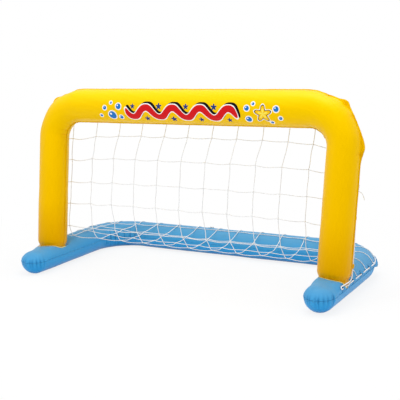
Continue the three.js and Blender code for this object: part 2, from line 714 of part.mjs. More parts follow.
const ropeKnot = [collar(TIE_RADIUS, TIE_RADIUS), ...tails]
  .reduce((all, piece) => all.add(piece))
  .subtract(collar(ROPE_RADIUS + TOUCH, 2 * TIE_RADIUS))
  .subtract(tubeBody(postLeg, ROPE_LIFT + TOUCH, unshaped));
addMesh("border_rope_knot", fromSolid(ropeKnot), whiteTwine);

// Welded loops: a band whose feet follow the tube and whose middle bridges the rope

// The outer and the inner line of a loop's band at one of its two edges
function bandEdge(station, angle) {
  const inner = station.radius + TOUCH;
  const bridge = ROPE_RADIUS + LOOP_SLACK;
  const crown = station.radius + ropeOffset;
  const root = (bridge + FILM / 2) / inner;
  const end = root + LOOP_FOOT / inner;
  const bend = FILM / 2 / inner;
  const polar = (turn, radius) => beside(station, angle + turn, radius);
  const outwards = polar(0, 1).sub(station.centre);
  const sideways = beside(station, angle + Math.PI / 2, 1).sub(station.centre);
  const domed = (spot, reach) =>
    station.centre
      .clone()
      .addScaledVector(outwards, crown + reach * Math.sin(spot))
      .addScaledVector(sideways, -reach * Math.cos(spot));
  const arc = spread(0, Math.PI, LOOP_STEPS);
  const band = (radius, reach, rootTurn) => [
    polar(-end, radius),
    polar(-rootTurn, radius),
    ...arc.map((spot) => domed(spot, reach)),
    polar(rootTurn, radius),
    polar(end, radius),
  ];
  return { front: band(inner + FILM, bridge + FILM, root + bend), back: band(inner, bridge, root - bend) };
}

function addLoops(prefix, distances, stationAt, angleAt, material) {
  bothWays(distances, FILM).forEach((distance, i) => {
    const edges = [distance - LOOP_WIDTH / 2, distance + LOOP_WIDTH / 2];
    const band = sweptStrip(edges.map((edge) => bandEdge(stationAt(edge), angleAt(distance))));
    addMesh(prefix + "_loop_" + (i + 1), band, material);
  });
}

addLoops("crossbar", barLoops, archStation, archRopeAngle, yellowFilm);
addLoops("post", [archBendLoop, ...postLoops], archStation, archRopeAngle, yellowFilm);
addLoops("rear", rearLoops, baseStation, baseRopeAngle, blueFilm);
addLoops("arm", [baseBendLoop, ...armLoops], baseStation, baseRopeAngle, blueFilm);

// Net

// Fine centrelines that the net's strands are kept clear of
const fineArch = bothWays(spread(0, postStart, FINE_STEPS), FILM).map(archStation);
const fineBase = bothWays(spread(0, toeStart, FINE_STEPS), FILM).map(baseStation);

// Moves a point out of a tube, straight away from its axis, where it lies too near.
function clearOfTubes(point, margin) {
  for (const line of [fineArch, fineBase]) {
    let best = null;
    for (let i = 0; i + 1 < line.length; i++) {
      const [a, b] = [line[i], line[i + 1]];
      const span = b.centre.clone().sub(a.centre);
      const raw = point.clone().sub(a.centre).dot(span) / span.lengthSq();
      const share = Math.min(Math.max(raw, 0), 1);
      const axis = a.centre.clone().addScaledVector(span, share);
      const distance = axis.distanceTo(point);
      if (!best || distance < best.distance) best = { axis, distance, radius: lerp(a.radius, b.radius, share) };
    }
    const need = best.radius + margin;
    if (best.distance < need) point.sub(best.axis).multiplyScalar(need / best.distance).add(best.axis);
  }
  return point;
}

const strandMargin = TWINE / Math.SQRT2 + STRAND_CLEARANCE;
const wrapMargin = TWINE / Math.SQRT2 + WRAP_CLEARANCE;
const knotMargin = KNOT / Math.SQRT2 + STRAND_CLEARANCE;
const postRear = (height) => postPlane + height * Math.tan(lean) + POST_RADIUS / Math.cos(lean);

// Middle and side places of a row: the row runs flat across the mouth and curls at its ends.
function rowPlaces(row) {
  const hanging = row < HANGING_MIDDLE_SHARES.length;
  if (hanging) {
    const middleHeight = HANGING_MIDDLE_SHARES[row] * ARCH_HEIGHT;
    const sideHeight = HANGING_SIDE_SHARES[row] * ARCH_HEIGHT;
    const belly = BELLY_SHARES[row] * NET_BELLY;
    return {
      middle: new THREE.Vector2(postRear(middleHeight) + KNOT - belly, middleHeight),
      side: new THREE.Vector2(postRear(sideHeight) + KNOT, sideHeight),
      half: netHalfWidth,
    };
  }
  const floorRow = row - HANGING_MIDDLE_SHARES.length;
  const top = axisHeight + BASE_RADIUS + strandMargin;
  return {
    middle: new THREE.Vector2(
      postPlane + FLOOR_MIDDLE_SHARES[floorRow] * REAR_REACH,
      top - SAG_SHARES[floorRow] * NET_FLOOR_SAG,
    ),
    side: new THREE.Vector2(postPlane + FLOOR_SIDE_SHARES[floorRow] * REAR_REACH, top),
    half: ARM_HALF_SPAN - FLOOR_INSET_SHARES[floorRow] * BASE_RADIUS,
  };
}

const netRows = HANGING_MIDDLE_SHARES.length + FLOOR_MIDDLE_SHARES.length;

function knotPlace(row, column) {
  const { middle, side, half } = rowPlaces(row);
  const share = (2 * column) / (NET_COLUMNS - 1) - 1;
  const curl = share ** NET_CURL;
  const x = share * half + SKEW_SHARES[row] * NET_SKEW * (1 - curl);
  const y = lerp(middle.x, side.x, curl);
  const z = lerp(middle.y, side.y, curl);
  return clearOfTubes(new THREE.Vector3(x, y, z), knotMargin);
}

const grid = [];
for (let row = 0; row < netRows; row++) {
  grid.push(Array.from({ length: NET_COLUMNS }, (_, column) => knotPlace(row, column)));
}

// The distance along a tube at which a measure of the rope's place takes a value, by halving
function distanceWhere(place, from, to, measure, value) {
  let [low, high] = [from, to];
  const rising = measure(place(high)) > measure(place(low));
  for (let i = 0; i < HALVINGS; i++) {
    const middle = (low + high) / 2;
    if (measure(place(middle)) < value === rising) low = middle;
    else high = middle;
  }
  return (low + high) / 2;
}

// Ends of the strands: knots that lie on the tube's skin, close beside the rope
function tiedEnd(place, stationAt, distance) {
  const turn = (ROPE_RADIUS + STRAND_CLEARANCE + KNOT * Math.SQRT1_2) / stationAt(distance).radius;
  return place(distance, turn, knotMargin);
}

const bentRun = lerp(archPath.barEnd, archPath.bendEnd, TOP_BEND_SHARE);
const topEnds = grid[0].map((knot) => {
  const distance = distanceWhere(onArch, -bentRun, bentRun, (p) => p.x, knot.x);
  return tiedEnd(onArch, archStation, distance);
});
const bottomEnds = grid.at(-1).map((knot) => {
  const distance = distanceWhere(onBase, -baseBendLoop, baseBendLoop, (p) => p.x, knot.x);
  return tiedEnd(onBase, baseStation, distance);
});
const sideEnds = grid.map((knots, row) => {
  const hanging = row < HANGING_MIDDLE_SHARES.length;
  return sides.map(([, side]) => {
    const knot = side < 0 ? knots[0] : knots.at(-1);
    if (hanging) {
      const distance = distanceWhere(onArch, side * archPath.barEnd, side * postStart, (p) => p.z, knot.z);
      return tiedEnd(onArch, archStation, distance);
    }
    const distance = distanceWhere(onBase, side * basePath.barEnd, side * postOnArm, (p) => p.y, knot.y);
    return tiedEnd(onBase, baseStation, distance);
  });
});

// One closed mesh of knots, each a small block, and four-sided strands between their faces
function latticeGeometry() {
  const points = [];
  const triangles = [];
  const knots = [];
  const quad = (a, b, c, d) => triangles.push([a, b, c], [a, c, d]);

  function addKnot(centre, across, down) {
    const a = across.clone().normalize();
    const n = a.clone().cross(down).normalize();
    const b = n.clone().cross(a);
    const start = points.length;
    for (const i of [-1, 1]) {
      for (const j of [-1, 1]) {
        for (const k of [-1, 1]) {
          const corner = centre.clone().addScaledVector(a, (i * KNOT) / 2);
          corner.addScaledVector(b, (j * KNOT) / 2).addScaledVector(n, (k * KNOT) / 2);
          points.push(corner);
        }
      }
    }
    const knot = { centre, a, b, n, start, used: new Set() };
    knots.push(knot);
    return knot;
  }

  // The corner of a knot with the given signs along its three directions
  const corner = (knot, i, j, k) => knot.start + (i > 0 ? 4 : 0) + (j > 0 ? 2 : 0) + (k > 0 ? 1 : 0);
  // The four corners of a face, anticlockwise as seen from the side that its own direction points to
  const turns = [[-1, -1], [1, -1], [1, 1], [-1, 1]];
  const faceA = (knot, i) => turns.map(([j, k]) => corner(knot, i, j, k));
  const faceB = (knot, j) => turns.map(([k, i]) => corner(knot, i, j, k));
  const faceN = (knot, k) => turns.map(([i, j]) => corner(knot, i, j, k));

  // A strand between two facing knot faces, in steps that are kept clear of the tubes
  function strand(from, to, kind, steps, margin) {
    const face = kind === "a" ? faceA : faceB;
    from.used.add(kind + "+");
    to.used.add(kind + "-");
    const startFace = face(from, 1);
    const endFace = face(to, -1);
    const start = from.centre.clone().addScaledVector(from[kind], KNOT / 2);
    const end = to.centre.clone().addScaledVector(to[kind], -KNOT / 2);
    const middles = spread(0, 1, steps)
      .slice(1, -1)
      .map((share) => clearOfTubes(start.clone().lerp(end, share), margin));
    const line = [start, ...middles, end];
    let ring = startFace;
    for (let i = 1; i < line.length - 1; i++) {
      const along = line[i + 1].clone().sub(line[i - 1]).normalize();
      const n = from.n.clone().lerp(to.n, i / steps);
      n.addScaledVector(along, -n.dot(along)).normalize();
      const cross = n.clone().cross(along);
      // The section's first direction matches the face's: b for a row strand, n for a column strand
      const [first, second] = kind === "a" ? [cross, n] : [n, cross.negate()];
      const next = turns.map(([p, q]) => {
        const spot = line[i].clone().addScaledVector(first, (p * TWINE) / 2);
        points.push(spot.addScaledVector(second, (q * TWINE) / 2));
        return points.length - 1;
      });
      for (let k = 0; k < 4; k++) quad(ring[k], ring[(k + 1) % 4], next[(k + 1) % 4], next[k]);
      ring = next;
    }
    for (let k = 0; k < 4; k++) quad(ring[k], ring[(k + 1) % 4], endFace[(k + 1) % 4], endFace[k]);
  }

  const at = (row, column) => grid[row][column];
  const inner = grid.map((line, row) =>
    line.map((centre, column) => {
      const left = column > 0 ? at(row, column - 1) : sideEnds[row][0];
      const right = column + 1 < NET_COLUMNS ? at(row, column + 1) : sideEnds[row][1];
      const above = row > 0 ? at(row - 1, column) : topEnds[column];
      const below = row + 1 < netRows ? at(row + 1, column) : bottomEnds[column];
      return addKnot(centre, right.clone().sub(left), below.clone().sub(above));
    }),
  );
  const tops = topEnds.map((end, c) => addKnot(end, inner[0][c].a, inner[0][c].centre.clone().sub(end)));
  const bottoms = bottomEnds.map((end, c) => {
    const last = inner[netRows - 1][c];
    return addKnot(end, last.a, end.clone().sub(last.centre));
  });
  const lefts = sideEnds.map(([end], r) => addKnot(end, inner[r][0].centre.clone().sub(end), inner[r][0].b));
  const rights = sideEnds.map(([, end], r) => {
    const last = inner[r][NET_COLUMNS - 1];
    return addKnot(end, end.clone().sub(last.centre), last.b);
  });

  const wrapped = (from, to, kind) => strand(from, to, kind, WRAP_STEPS, wrapMargin);
  const plain = (from, to, kind) => strand(from, to, kind, 1, strandMargin);
  inner.forEach((line, r) => {
    wrapped(lefts[r], line[0], "a");
    for (let c = 0; c + 1 < NET_COLUMNS; c++) plain(line[c], line[c + 1], "a");
    wrapped(line.at(-1), rights[r], "a");
  });
  for (let c = 0; c < NET_COLUMNS; c++) {
    wrapped(tops[c], inner[0][c], "b");
    for (let r = 0; r + 1 < netRows; r++) plain(inner[r][c], inner[r + 1][c], "b");
    wrapped(inner[netRows - 1][c], bottoms[c], "b");
  }

  for (const knot of knots) {
    const close = (face, outward) => (outward ? quad(...face) : quad(...[...face].reverse()));
    if (!knot.used.has("a+")) close(faceA(knot, 1), true);
    if (!knot.used.has("a-")) close(faceA(knot, -1), false);
    if (!knot.used.has("b+")) close(faceB(knot, 1), true);
    if (!knot.used.has("b-")) close(faceB(knot, -1), false);
    close(faceN(knot, 1), true);
    close(faceN(knot, -1), false);
  }
  return closedGeometry(points, triangles);
}

addMesh("net", latticeGeometry(), whiteTwine);

export default goal;
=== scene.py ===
"""Looks of an inflatable water polo goal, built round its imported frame. Metres, +Z up."""

import math
import random
from collections import namedtuple
from functools import reduce

import bpy
import numpy as np
from mathutils import Matrix, Vector


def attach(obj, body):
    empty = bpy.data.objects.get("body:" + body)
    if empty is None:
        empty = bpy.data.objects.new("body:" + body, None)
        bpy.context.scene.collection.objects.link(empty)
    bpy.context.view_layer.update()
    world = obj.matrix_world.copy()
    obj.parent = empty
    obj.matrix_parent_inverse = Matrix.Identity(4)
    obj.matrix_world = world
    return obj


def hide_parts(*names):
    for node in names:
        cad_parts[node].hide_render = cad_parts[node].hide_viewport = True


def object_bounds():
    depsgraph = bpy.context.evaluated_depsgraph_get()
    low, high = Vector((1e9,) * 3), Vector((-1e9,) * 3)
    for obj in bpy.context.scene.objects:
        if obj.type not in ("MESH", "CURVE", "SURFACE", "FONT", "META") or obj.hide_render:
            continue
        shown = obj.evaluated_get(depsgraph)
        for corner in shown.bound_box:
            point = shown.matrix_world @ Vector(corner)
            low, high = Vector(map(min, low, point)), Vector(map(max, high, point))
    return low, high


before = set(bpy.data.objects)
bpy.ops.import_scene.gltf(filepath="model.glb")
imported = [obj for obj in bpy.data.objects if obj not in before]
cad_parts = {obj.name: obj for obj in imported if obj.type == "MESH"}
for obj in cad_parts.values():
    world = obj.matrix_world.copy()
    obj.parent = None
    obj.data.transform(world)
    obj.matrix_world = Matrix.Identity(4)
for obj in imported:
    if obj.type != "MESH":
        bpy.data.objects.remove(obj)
cad_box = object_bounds()

# Film, seams and clearances
FILM = 0.0008
TOUCH = 0.0003
SEAM_GAP = 0.0001
SEAM_LAP = 0.006

# Spans, outwards from the middle: the arms' axes, the posts' feet on them and the posts' tops
ARM_HALF_SPAN = 0.603
FOOT_OUTSET = 0.003
POST_SPLAY = 0.016

# Arch: two posts and a crossbar, one tube bent twice
ARCH_HEIGHT = 0.653
ARCH_RAKE = 0.105
ARCH_BEND = 0.130
POST_RADIUS = 0.059
BAR_RADIUS = 0.064
POST_FOOT_RADIUS = 0.050
POST_TAPER = 0.060
FOOT_FULLNESS = 4

# Base: two arms that end in round toes, and a rear tube between them
BASE_RADIUS = 0.0545
BASE_BEND = 0.160
TOE_REACH = 0.105
REAR_REACH = 0.448
FLOOR_FLAT = 0.0015

# Seat that each post's weld pulls into the top of its arm, and how much higher than its middle it is
# at the front and at the inner side of the weld
SEAT_DEPTH = 0.0255
SEAT_PITCH = 0.012
SEAT_ROLL = 0.006
# Slopes of the arm's top away from the weld, up towards the rear and the sides and down to the toe
SEAT_FLARE = 0.55
TOE_FLARE = -0.05
# Rounding of the film where it leaves the seat, and how far out the toe's full roundness is reached
SEAT_ROUND = 0.004
TOE_ROUND = 0.020
TOE_ROUND_RUN = 0.045
# Height above the seam over which the seat's pull grows, width of a post's weld ring, and how far above
# the arm's axis a post's film starts
SEAM_STAND = 0.005
WELD_LAP = 0.005
FOOT_RISE = 0.0125

# Net and its twine
TWINE_RADIUS = 0.0013
NET_COLUMNS = 12
NET_INSET = 0.034
NET_BELLY = 0.032
NET_FLOOR_SAG = 0.025
NET_SKEW = 0.036
NET_CURL = 4
TOP_BEND_SHARE = 0.6
KNOT_SIZE = 0.0032
HANGING_MIDDLE_SHARES = [0.82, 0.683, 0.536, 0.397, 0.228]
HANGING_SIDE_SHARES = [0.785, 0.654, 0.515, 0.38, 0.24]
BELLY_SHARES = [0.65, 1, 0.9, 0.4, -0.6]
FLOOR_MIDDLE_SHARES = [0.32, 0.55, 0.77, 0.96]
FLOOR_SIDE_SHARES = [0.25, 0.47, 0.67, 0.84]
SAG_SHARES = [0.4, 1, 0.85, 0.1]
SKEW_SHARES = [1, 0.5, 0.4, 0.15, 0.3, 0.4, 0.1, -0.2, -0.3]
FLOOR_INSET_SHARES = [0.5, 0.5, 0.6, 1.1]

# Border rope, and its angles round the tubes in degrees from their outer side
ROPE_RADIUS = 0.0023
ROPE_LIFT = 0.0015
BAR_ROPE_ANGLE = 101
POST_ROPE_ANGLE = 62
FOOT_ROPE_ANGLE = 32
ARM_ROPE_ANGLE = 14
REAR_ROPE_ANGLE = 30
# Where the rope crosses a post's outer side above the seat and how far off it, how far off the arm it
# passes the post, and the radius of its turn at the foot
CROSSING_RISE = 0.004
CROSSING_LIFT = 0.006
PASSING_LIFT = 0.0025
ROPE_TURN = 0.0045

# Welded loops that the border rope runs through
LOOP_WIDTH = 0.016
LOOP_FOOT = 0.008
LOOP_SLACK = 0.0016
LOOP_RUN = 0.017
LOOP_EVERY = 2
LOOPS_EACH_WAY = 2
ARCH_BEND_LOOP_SHARE = 0.72
BASE_BEND_LOOP_SHARE = 0.5
ARM_LOOP_SHARES = [-0.1, 0.27, 0.57, 0.89]
POST_LOOP_SHARES = [0.72, 0.444, 0.198]

SEAM_EDGE = SEAM_GAP / 2 + FILM
AXIS_HEIGHT = BASE_RADIUS - FLOOR_FLAT
SEAT_HEIGHT = 2 * BASE_RADIUS - FLOOR_FLAT - SEAT_DEPTH
FOOT_HALF_SPAN = ARM_HALF_SPAN + FOOT_OUTSET
TOP_HALF_SPAN = FOOT_HALF_SPAN + POST_SPLAY
LEAN = math.atan2(ARCH_RAKE, ARCH_HEIGHT)
POST_LENGTH = ARCH_HEIGHT / math.cos(LEAN)
ROPE_OFFSET = ROPE_LIFT + ROPE_RADIUS
CAD_LOW, CAD_HIGH = (np.array(corner) for corner in cad_box)
POST_PLANE = CAD_LOW[1] + TOE_REACH + BASE_RADIUS + SEAM_LAP - FILM


# Camera, at the photograph's viewing angle

CAMERA_PLACE = (1.5516, -2.7669, 0.8917)
CAMERA_RIGHT = (0.8752, 0.4828, -0.0286)
CAMERA_UP = (-0.066, 0.1776, 0.9819)
CAMERA_BACK = (0.4792, -0.8575, 0.1873)
CAMERA_LENS = 74.8


def make_camera():
    data = bpy.data.cameras.new("camera")
    data.lens = CAMERA_LENS
    camera = bpy.data.objects.new("camera", data)
    turn = Matrix((CAMERA_RIGHT, CAMERA_UP, CAMERA_BACK)).transposed().to_quaternion()
    camera.matrix_world = Matrix.Translation(CAMERA_PLACE) @ turn.to_matrix().to_4x4()
    bpy.context.scene.collection.objects.link(camera)
    bpy.context.scene.camera = camera


# Shared maths

OCTAVES = (1.0, 1.618, 2.414, 3.732)
# Halvings of a stretch in which a place is looked for
HALVINGS = 30


def smooth_step(value, low, high):
    share = np.clip((value - low) / (high - low), 0, 1)
    return share * share * (3 - 2 * share)


def bump(value, low, high):
    """A smooth hill from 0 at low to 1 halfway and back to 0 at high."""
    middle = (low + high) / 2
    return smooth_step(value, low, middle) * (1 - smooth_step(value, middle, high))


def hills(value, rows):
    """The sum of smooth hills, one for each row of place, height and half width."""
    return sum(height * np.exp(-(((value - place) / half) ** 2)) for place, height, half in rows)


def mix(a, b, share):
    return a + (b - a) * share


def unit(vectors):
    return vectors / np.linalg.norm(vectors, axis=-1, keepdims=True)


def drift(values, rows):
    """The sum of slow uneven waves, one for each row of height, pitch and seed."""
    total = np.zeros_like(values)
    for height, pitch, seed in rows:
        draw = random.Random(seed)
        for octave in OCTAVES:
            phase = draw.uniform(0, 2 * math.pi)
            total = total + height / 2 * np.sin(2 * math.pi * values * octave / pitch + phase) / octave
    return total


def both_ways(distances):
    """The same distances on both sides of the middle, in order and each only once."""
    found = sorted([-d for d in distances] + list(distances))
    kept = [found[0]]
    for d in found[1:]:
        if d - kept[-1] > FILM:
            kept.append(d)
    return kept


def stations(*stretches):
    """Distances that run through stretches of (start, end, step)."""
    found = []
    for start, end, step in stretches:
        count = max(int(math.ceil((end - start) / step)), 1)
        found += [start + (end - start) * k / count for k in range(count)]
    found.append(stretches[-1][1])
    return found


# Centrelines

class Spine:
    """A U in a plane, measured from the middle of its bar: positive distances run down the right leg."""

    def __init__(self, top_half, foot_half, height, bend, origin, up, normal):
        splay = math.atan2(top_half - foot_half, height)
        self.turn = math.pi / 2 + splay
        tangent = bend * math.tan(self.turn / 2)
        self.height, self.bend = height, bend
        self.bar_end = top_half - tangent
        self.bend_end = self.bar_end + bend * self.turn
        self.end = self.bend_end + height / math.cos(splay) - tangent
        self.origin, self.up, self.normal = np.array(origin), np.array(up), np.array(normal)

    def at(self, distances):
        """Centres, outward directions and directions along, at an array of distances."""
        d = np.atleast_1d(np.asarray(distances, float))
        side = np.where(d < 0, -1, 1)
        run = np.abs(d)
        angle = np.clip((run - self.bar_end) / self.bend, 0, self.turn)
        rest = np.maximum(run - self.bend_end, 0)
        straight = np.minimum(run, self.bar_end)
        x = straight + self.bend * np.sin(angle) + rest * np.cos(angle)
        h = self.height - self.bend + self.bend * np.cos(angle) - rest * np.sin(angle)
        across = np.array([1.0, 0, 0])
        centre = self.origin + (side * x)[:, None] * across + h[:, None] * self.up
        out = (side * np.sin(angle))[:, None] * across + np.cos(angle)[:, None] * self.up
        along = np.cos(angle)[:, None] * across - (side * np.sin(angle))[:, None] * self.up
        return centre, out, along

    def beside(self, distances, angles, reach):
        """Points at angles (radians) from outward towards the normal, at a reach from the axis."""
        centre, out, _ = self.at(distances)
        angles, reach = np.broadcast_arrays(np.atleast_1d(angles), np.atleast_1d(reach))
        rise = (reach * np.sin(angles))[:, None] * self.normal
        return centre + (reach * np.cos(angles))[:, None] * out + rise

    def round_bend(self, rows):
        """Rows with their first value turned from a share of the bend into a distance."""
        return [(mix(self.bar_end, self.bend_end, share), *rest) for share, *rest in rows]


arch = Spine(
    TOP_HALF_SPAN, FOOT_HALF_SPAN, POST_LENGTH, ARCH_BEND,
    (0, POST_PLANE, 0), (0, math.sin(LEAN), math.cos(LEAN)), (0, math.cos(LEAN), -math.sin(LEAN)),
)
base = Spine(
    ARM_HALF_SPAN, ARM_HALF_SPAN, TOE_REACH + REAR_REACH, BASE_BEND,
    (0, POST_PLANE - TOE_REACH, AXIS_HEIGHT), (0, 1, 0), (0, 0, 1),
)
post_start = arch.end - (AXIS_HEIGHT + FOOT_RISE) / math.cos(LEAN)
taper_start = post_start - POST_TAPER
seat_run = (SEAT_HEIGHT - AXIS_HEIGHT - FOOT_RISE) / math.cos(LEAN)
post_on_arm = base.end - TOE_REACH


def arch_radius(distances):
    run = np.abs(distances)
    straight = mix(BAR_RADIUS, POST_RADIUS, smooth_step(run, arch.bar_end, arch.bend_end))
    foot = smooth_step(run, taper_start, post_start - seat_run)
    return mix(straight, POST_FOOT_RADIUS, foot**FOOT_FULLNESS)


def base_radius(distances):
    past = np.maximum(np.abs(distances) - base.end, 0)
    return np.maximum(np.sqrt(np.maximum(BASE_RADIUS**2 - past**2, 0)), FILM)


# Seats of the posts on the arms

def seat_ceiling(x, y):
    """How high the base's film may stand near a post, a low tilted plane in the weld with slopes round
    it, and how softly the film bends into it."""
    dx = np.abs(x) - FOOT_HALF_SPAN
    dy = y - POST_PLANE - AXIS_HEIGHT * math.tan(LEAN)
    reach = np.hypot(dx, dy)
    away = np.maximum(reach - POST_FOOT_RADIUS - WELD_LAP, 0)
    front = np.maximum(-dy, 0) / np.maximum(reach, FILM)
    tilt = (SEAT_PITCH * dy + SEAT_ROLL * dx) / np.maximum(reach, POST_FOOT_RADIUS)
    rise = SEAT_HEIGHT - AXIS_HEIGHT - tilt + mix(SEAT_FLARE, TOE_FLARE, front) * away
    past = np.maximum(POST_PLANE - TOE_REACH - y, 0)
    off_axis = np.hypot(np.abs(x) - ARM_HALF_SPAN, past) / BASE_RADIUS
    round_share = np.sqrt(np.maximum(1 - off_axis**2, 0))
    toe_share = smooth_step(away, 0, TOE_ROUND_RUN)
    rise = rise * mix(1, round_share, toe_share * front)
    return AXIS_HEIGHT + rise, mix(SEAT_ROUND, TOE_ROUND, toe_share)


def lower_of(a, b, rounding):
    """The lower of two heights above the seam, with a rounded edge where they cross."""
    rounding = np.minimum(rounding, np.maximum(np.minimum(a, b) - AXIS_HEIGHT, FILM))
    share = np.clip(0.5 + (b - a) / (2 * rounding), 0, 1)
    return mix(b, a, share) - rounding * share * (1 - share)


def seated(points):
    """Pulls points of the base's upper film down under the posts."""
    x, y, z = points[..., 0], points[..., 1], points[..., 2]
    pulled = lower_of(z, *seat_ceiling(x, y))
    low = AXIS_HEIGHT + SEAM_EDGE
    points[..., 2] = mix(z, np.maximum(pulled, low), smooth_step(z, low, low + SEAM_STAND))
    return points


def on_floor(points):
    """Lifts points of the base's lower film to the floor."""
    points[:, 2] = np.maximum(points[:, 2], 0)
    return points


def arm_film_height(x, y):
    dx = np.abs(x) - ARM_HALF_SPAN
    round_height = AXIS_HEIGHT + np.sqrt(np.maximum(BASE_RADIUS**2 - dx**2, 0))
    return lower_of(round_height, *seat_ceiling(x, y))


# Meshes

# A direction in which no line here starts
UNLIKE_ANY_LINE = (0.3, 0.2, 0.9)


def add_mesh(name, vertices, faces, uvs, material, body="root"):
    mesh = bpy.data.meshes.new(name)
    mesh.from_pydata([tuple(v) for v in vertices], [], faces)
    layer = mesh.uv_layers.new(name="UVMap")
    loops = np.zeros(len(mesh.loops), int)
    mesh.loops.foreach_get("vertex_index", loops)
    layer.data.foreach_set("uv", np.asarray(uvs, float)[loops].ravel())
    mesh.polygons.foreach_set("use_smooth", [True] * len(mesh.polygons))
    mesh.materials.append(material)
    mesh.update()
    piece = bpy.data.objects.new(name, mesh)
    bpy.context.scene.collection.objects.link(piece)
    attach(piece, body)
    return piece


def add_attribute(piece, name, values):
    attribute = piece.data.attributes.new(name, "FLOAT", "POINT")
    attribute.data.foreach_set("value", np.asarray(values, np.float32).ravel())


def thicken(piece):
    modifier = piece.modifiers.new("thickness", "SOLIDIFY")
    modifier.thickness = FILM
    modifier.offset = -1


def grid_faces(rows, columns, wrap=False):
    faces = []
    for i in range(rows - 1):
        for k in range(columns if wrap else columns - 1):
            a, b = i * columns + k, i * columns + (k + 1) % columns
            faces.append((a, b, b + columns, a + columns))
    return faces


def grid_uvs(along, around):
    """Uvs of a grid that has its rows along one way and its columns along the other."""
    return np.column_stack([np.tile(along, len(around)), np.repeat(around, len(along))])


def faced_away(points, faces, sample, inside):
    """The faces, all turned over if the sample face looks towards a point inside."""
    a, b, c = points[list(faces[sample][:3])]
    if np.cross(b - a, c - a).dot(a - inside) < 0:
        return [face[::-1] for face in faces]
    return faces


def neighbours(p, closed):
    """The points before and after each point of a line."""
    if closed:
        return np.roll(p, 1, 0), np.roll(p, -1, 0)
    return np.vstack([2 * p[0] - p[1], p[:-1]]), np.vstack([p[1:], 2 * p[-1] - p[-2]])


def catmull_rom(points, step, closed=False):
    """A smooth line through points, sampled at about a step."""
    p = np.asarray(points, float)
    before, after = neighbours(p, closed)
    beyond = neighbours(after, closed)[1]
    line = []
    for a, b, c, d in list(zip(before, p, after, beyond))[: None if closed else -1]:
        span = np.linalg.norm(c - b)
        left = (c - a) * span / max(np.linalg.norm(b - a) + span, FILM)
        right = (d - b) * span / max(np.linalg.norm(d - c) + span, FILM)
        count = max(int(round(span / step)), 1)
        for t in np.arange(count) / count:
            h = [2 * t**3 - 3 * t**2 + 1, t**3 - 2 * t**2 + t, 3 * t**2 - 2 * t**3, t**3 - t**2]
            line.append(h[0] * b + h[1] * left + h[2] * c + h[3] * right)
    if not closed:
        line.append(p[-1])
    return np.array(line)


def tube(line, radius, sides, closed=False, twist_pitch=0, lobes=0, lobe_share=0.0):
    """Vertices, faces and uvs of a tube along a line, or with lobes of a rope of so many twisted strands."""
    p = np.asarray(line, float)
    before, after = neighbours(p, closed)
    tangents = unit(after - before)
    lengths = np.concatenate([[0], np.cumsum(np.linalg.norm(np.diff(p, axis=0), axis=1))])
    normal = np.cross(tangents[0], UNLIKE_ANY_LINE)
    turns = 2 * math.pi * np.arange(sides) / sides
    vertices, uvs = [], []
    for i, t in enumerate(tangents):
        normal = unit(normal - t * normal.dot(t))
        across = np.cross(t, normal)
        phase = 2 * math.pi * lengths[i] / twist_pitch if twist_pitch else 0
        swell = 1 - lobe_share + lobe_share * np.abs(np.cos(lobes * (turns - phase) / 2)) if lobes else 1
        reach = (radius * swell * np.ones(sides))[:, None]
        vertices.append(p[i] + reach * (np.cos(turns)[:, None] * normal + np.sin(turns)[:, None] * across))
        uvs.append(np.column_stack([np.full(sides, lengths[i]), radius * turns]))
    faces = grid_faces(len(p), sides, wrap=True)
    last = (len(p) - 1) * sides
    if closed:
        gaps = [np.linalg.norm(vertices[-1][0] - vertices[0][s]) for s in range(sides)]
        shift = int(np.argmin(gaps))
        for k in range(sides):
            a, b = last + k, last + (k + 1) % sides
            faces.append((a, b, (k + 1 + shift) % sides, (k + shift) % sides))
    else:
        faces.append(tuple(range(sides))[::-1])
        faces.append(tuple(last + k for k in range(sides)))
    return np.vstack(vertices), faces, np.vstack(uvs)


def joined(meshes):
    """One mesh from several, each given as vertices, faces and uvs."""
    faces, count = [], 0
    for vertices, own_faces, _ in meshes:
        faces += [tuple(k + count for k in face) for face in own_faces]
        count += len(vertices)
    return np.vstack([mesh[0] for mesh in meshes]), faces, np.vstack([mesh[2] for mesh in meshes])


# Materials

def srgb(red, green, blue):
    """A colour given in display values from 0 to 255, as the linear values that shaders take."""
    def linear(value):
        share = value / 255
        return share / 12.92 if share <= 0.04045 else ((share + 0.055) / 1.055) ** 2.4

    return (linear(red), linear(green), linear(blue), 1)


NOISE_DETAIL = 3.0
FINE_DETAIL = 2.0


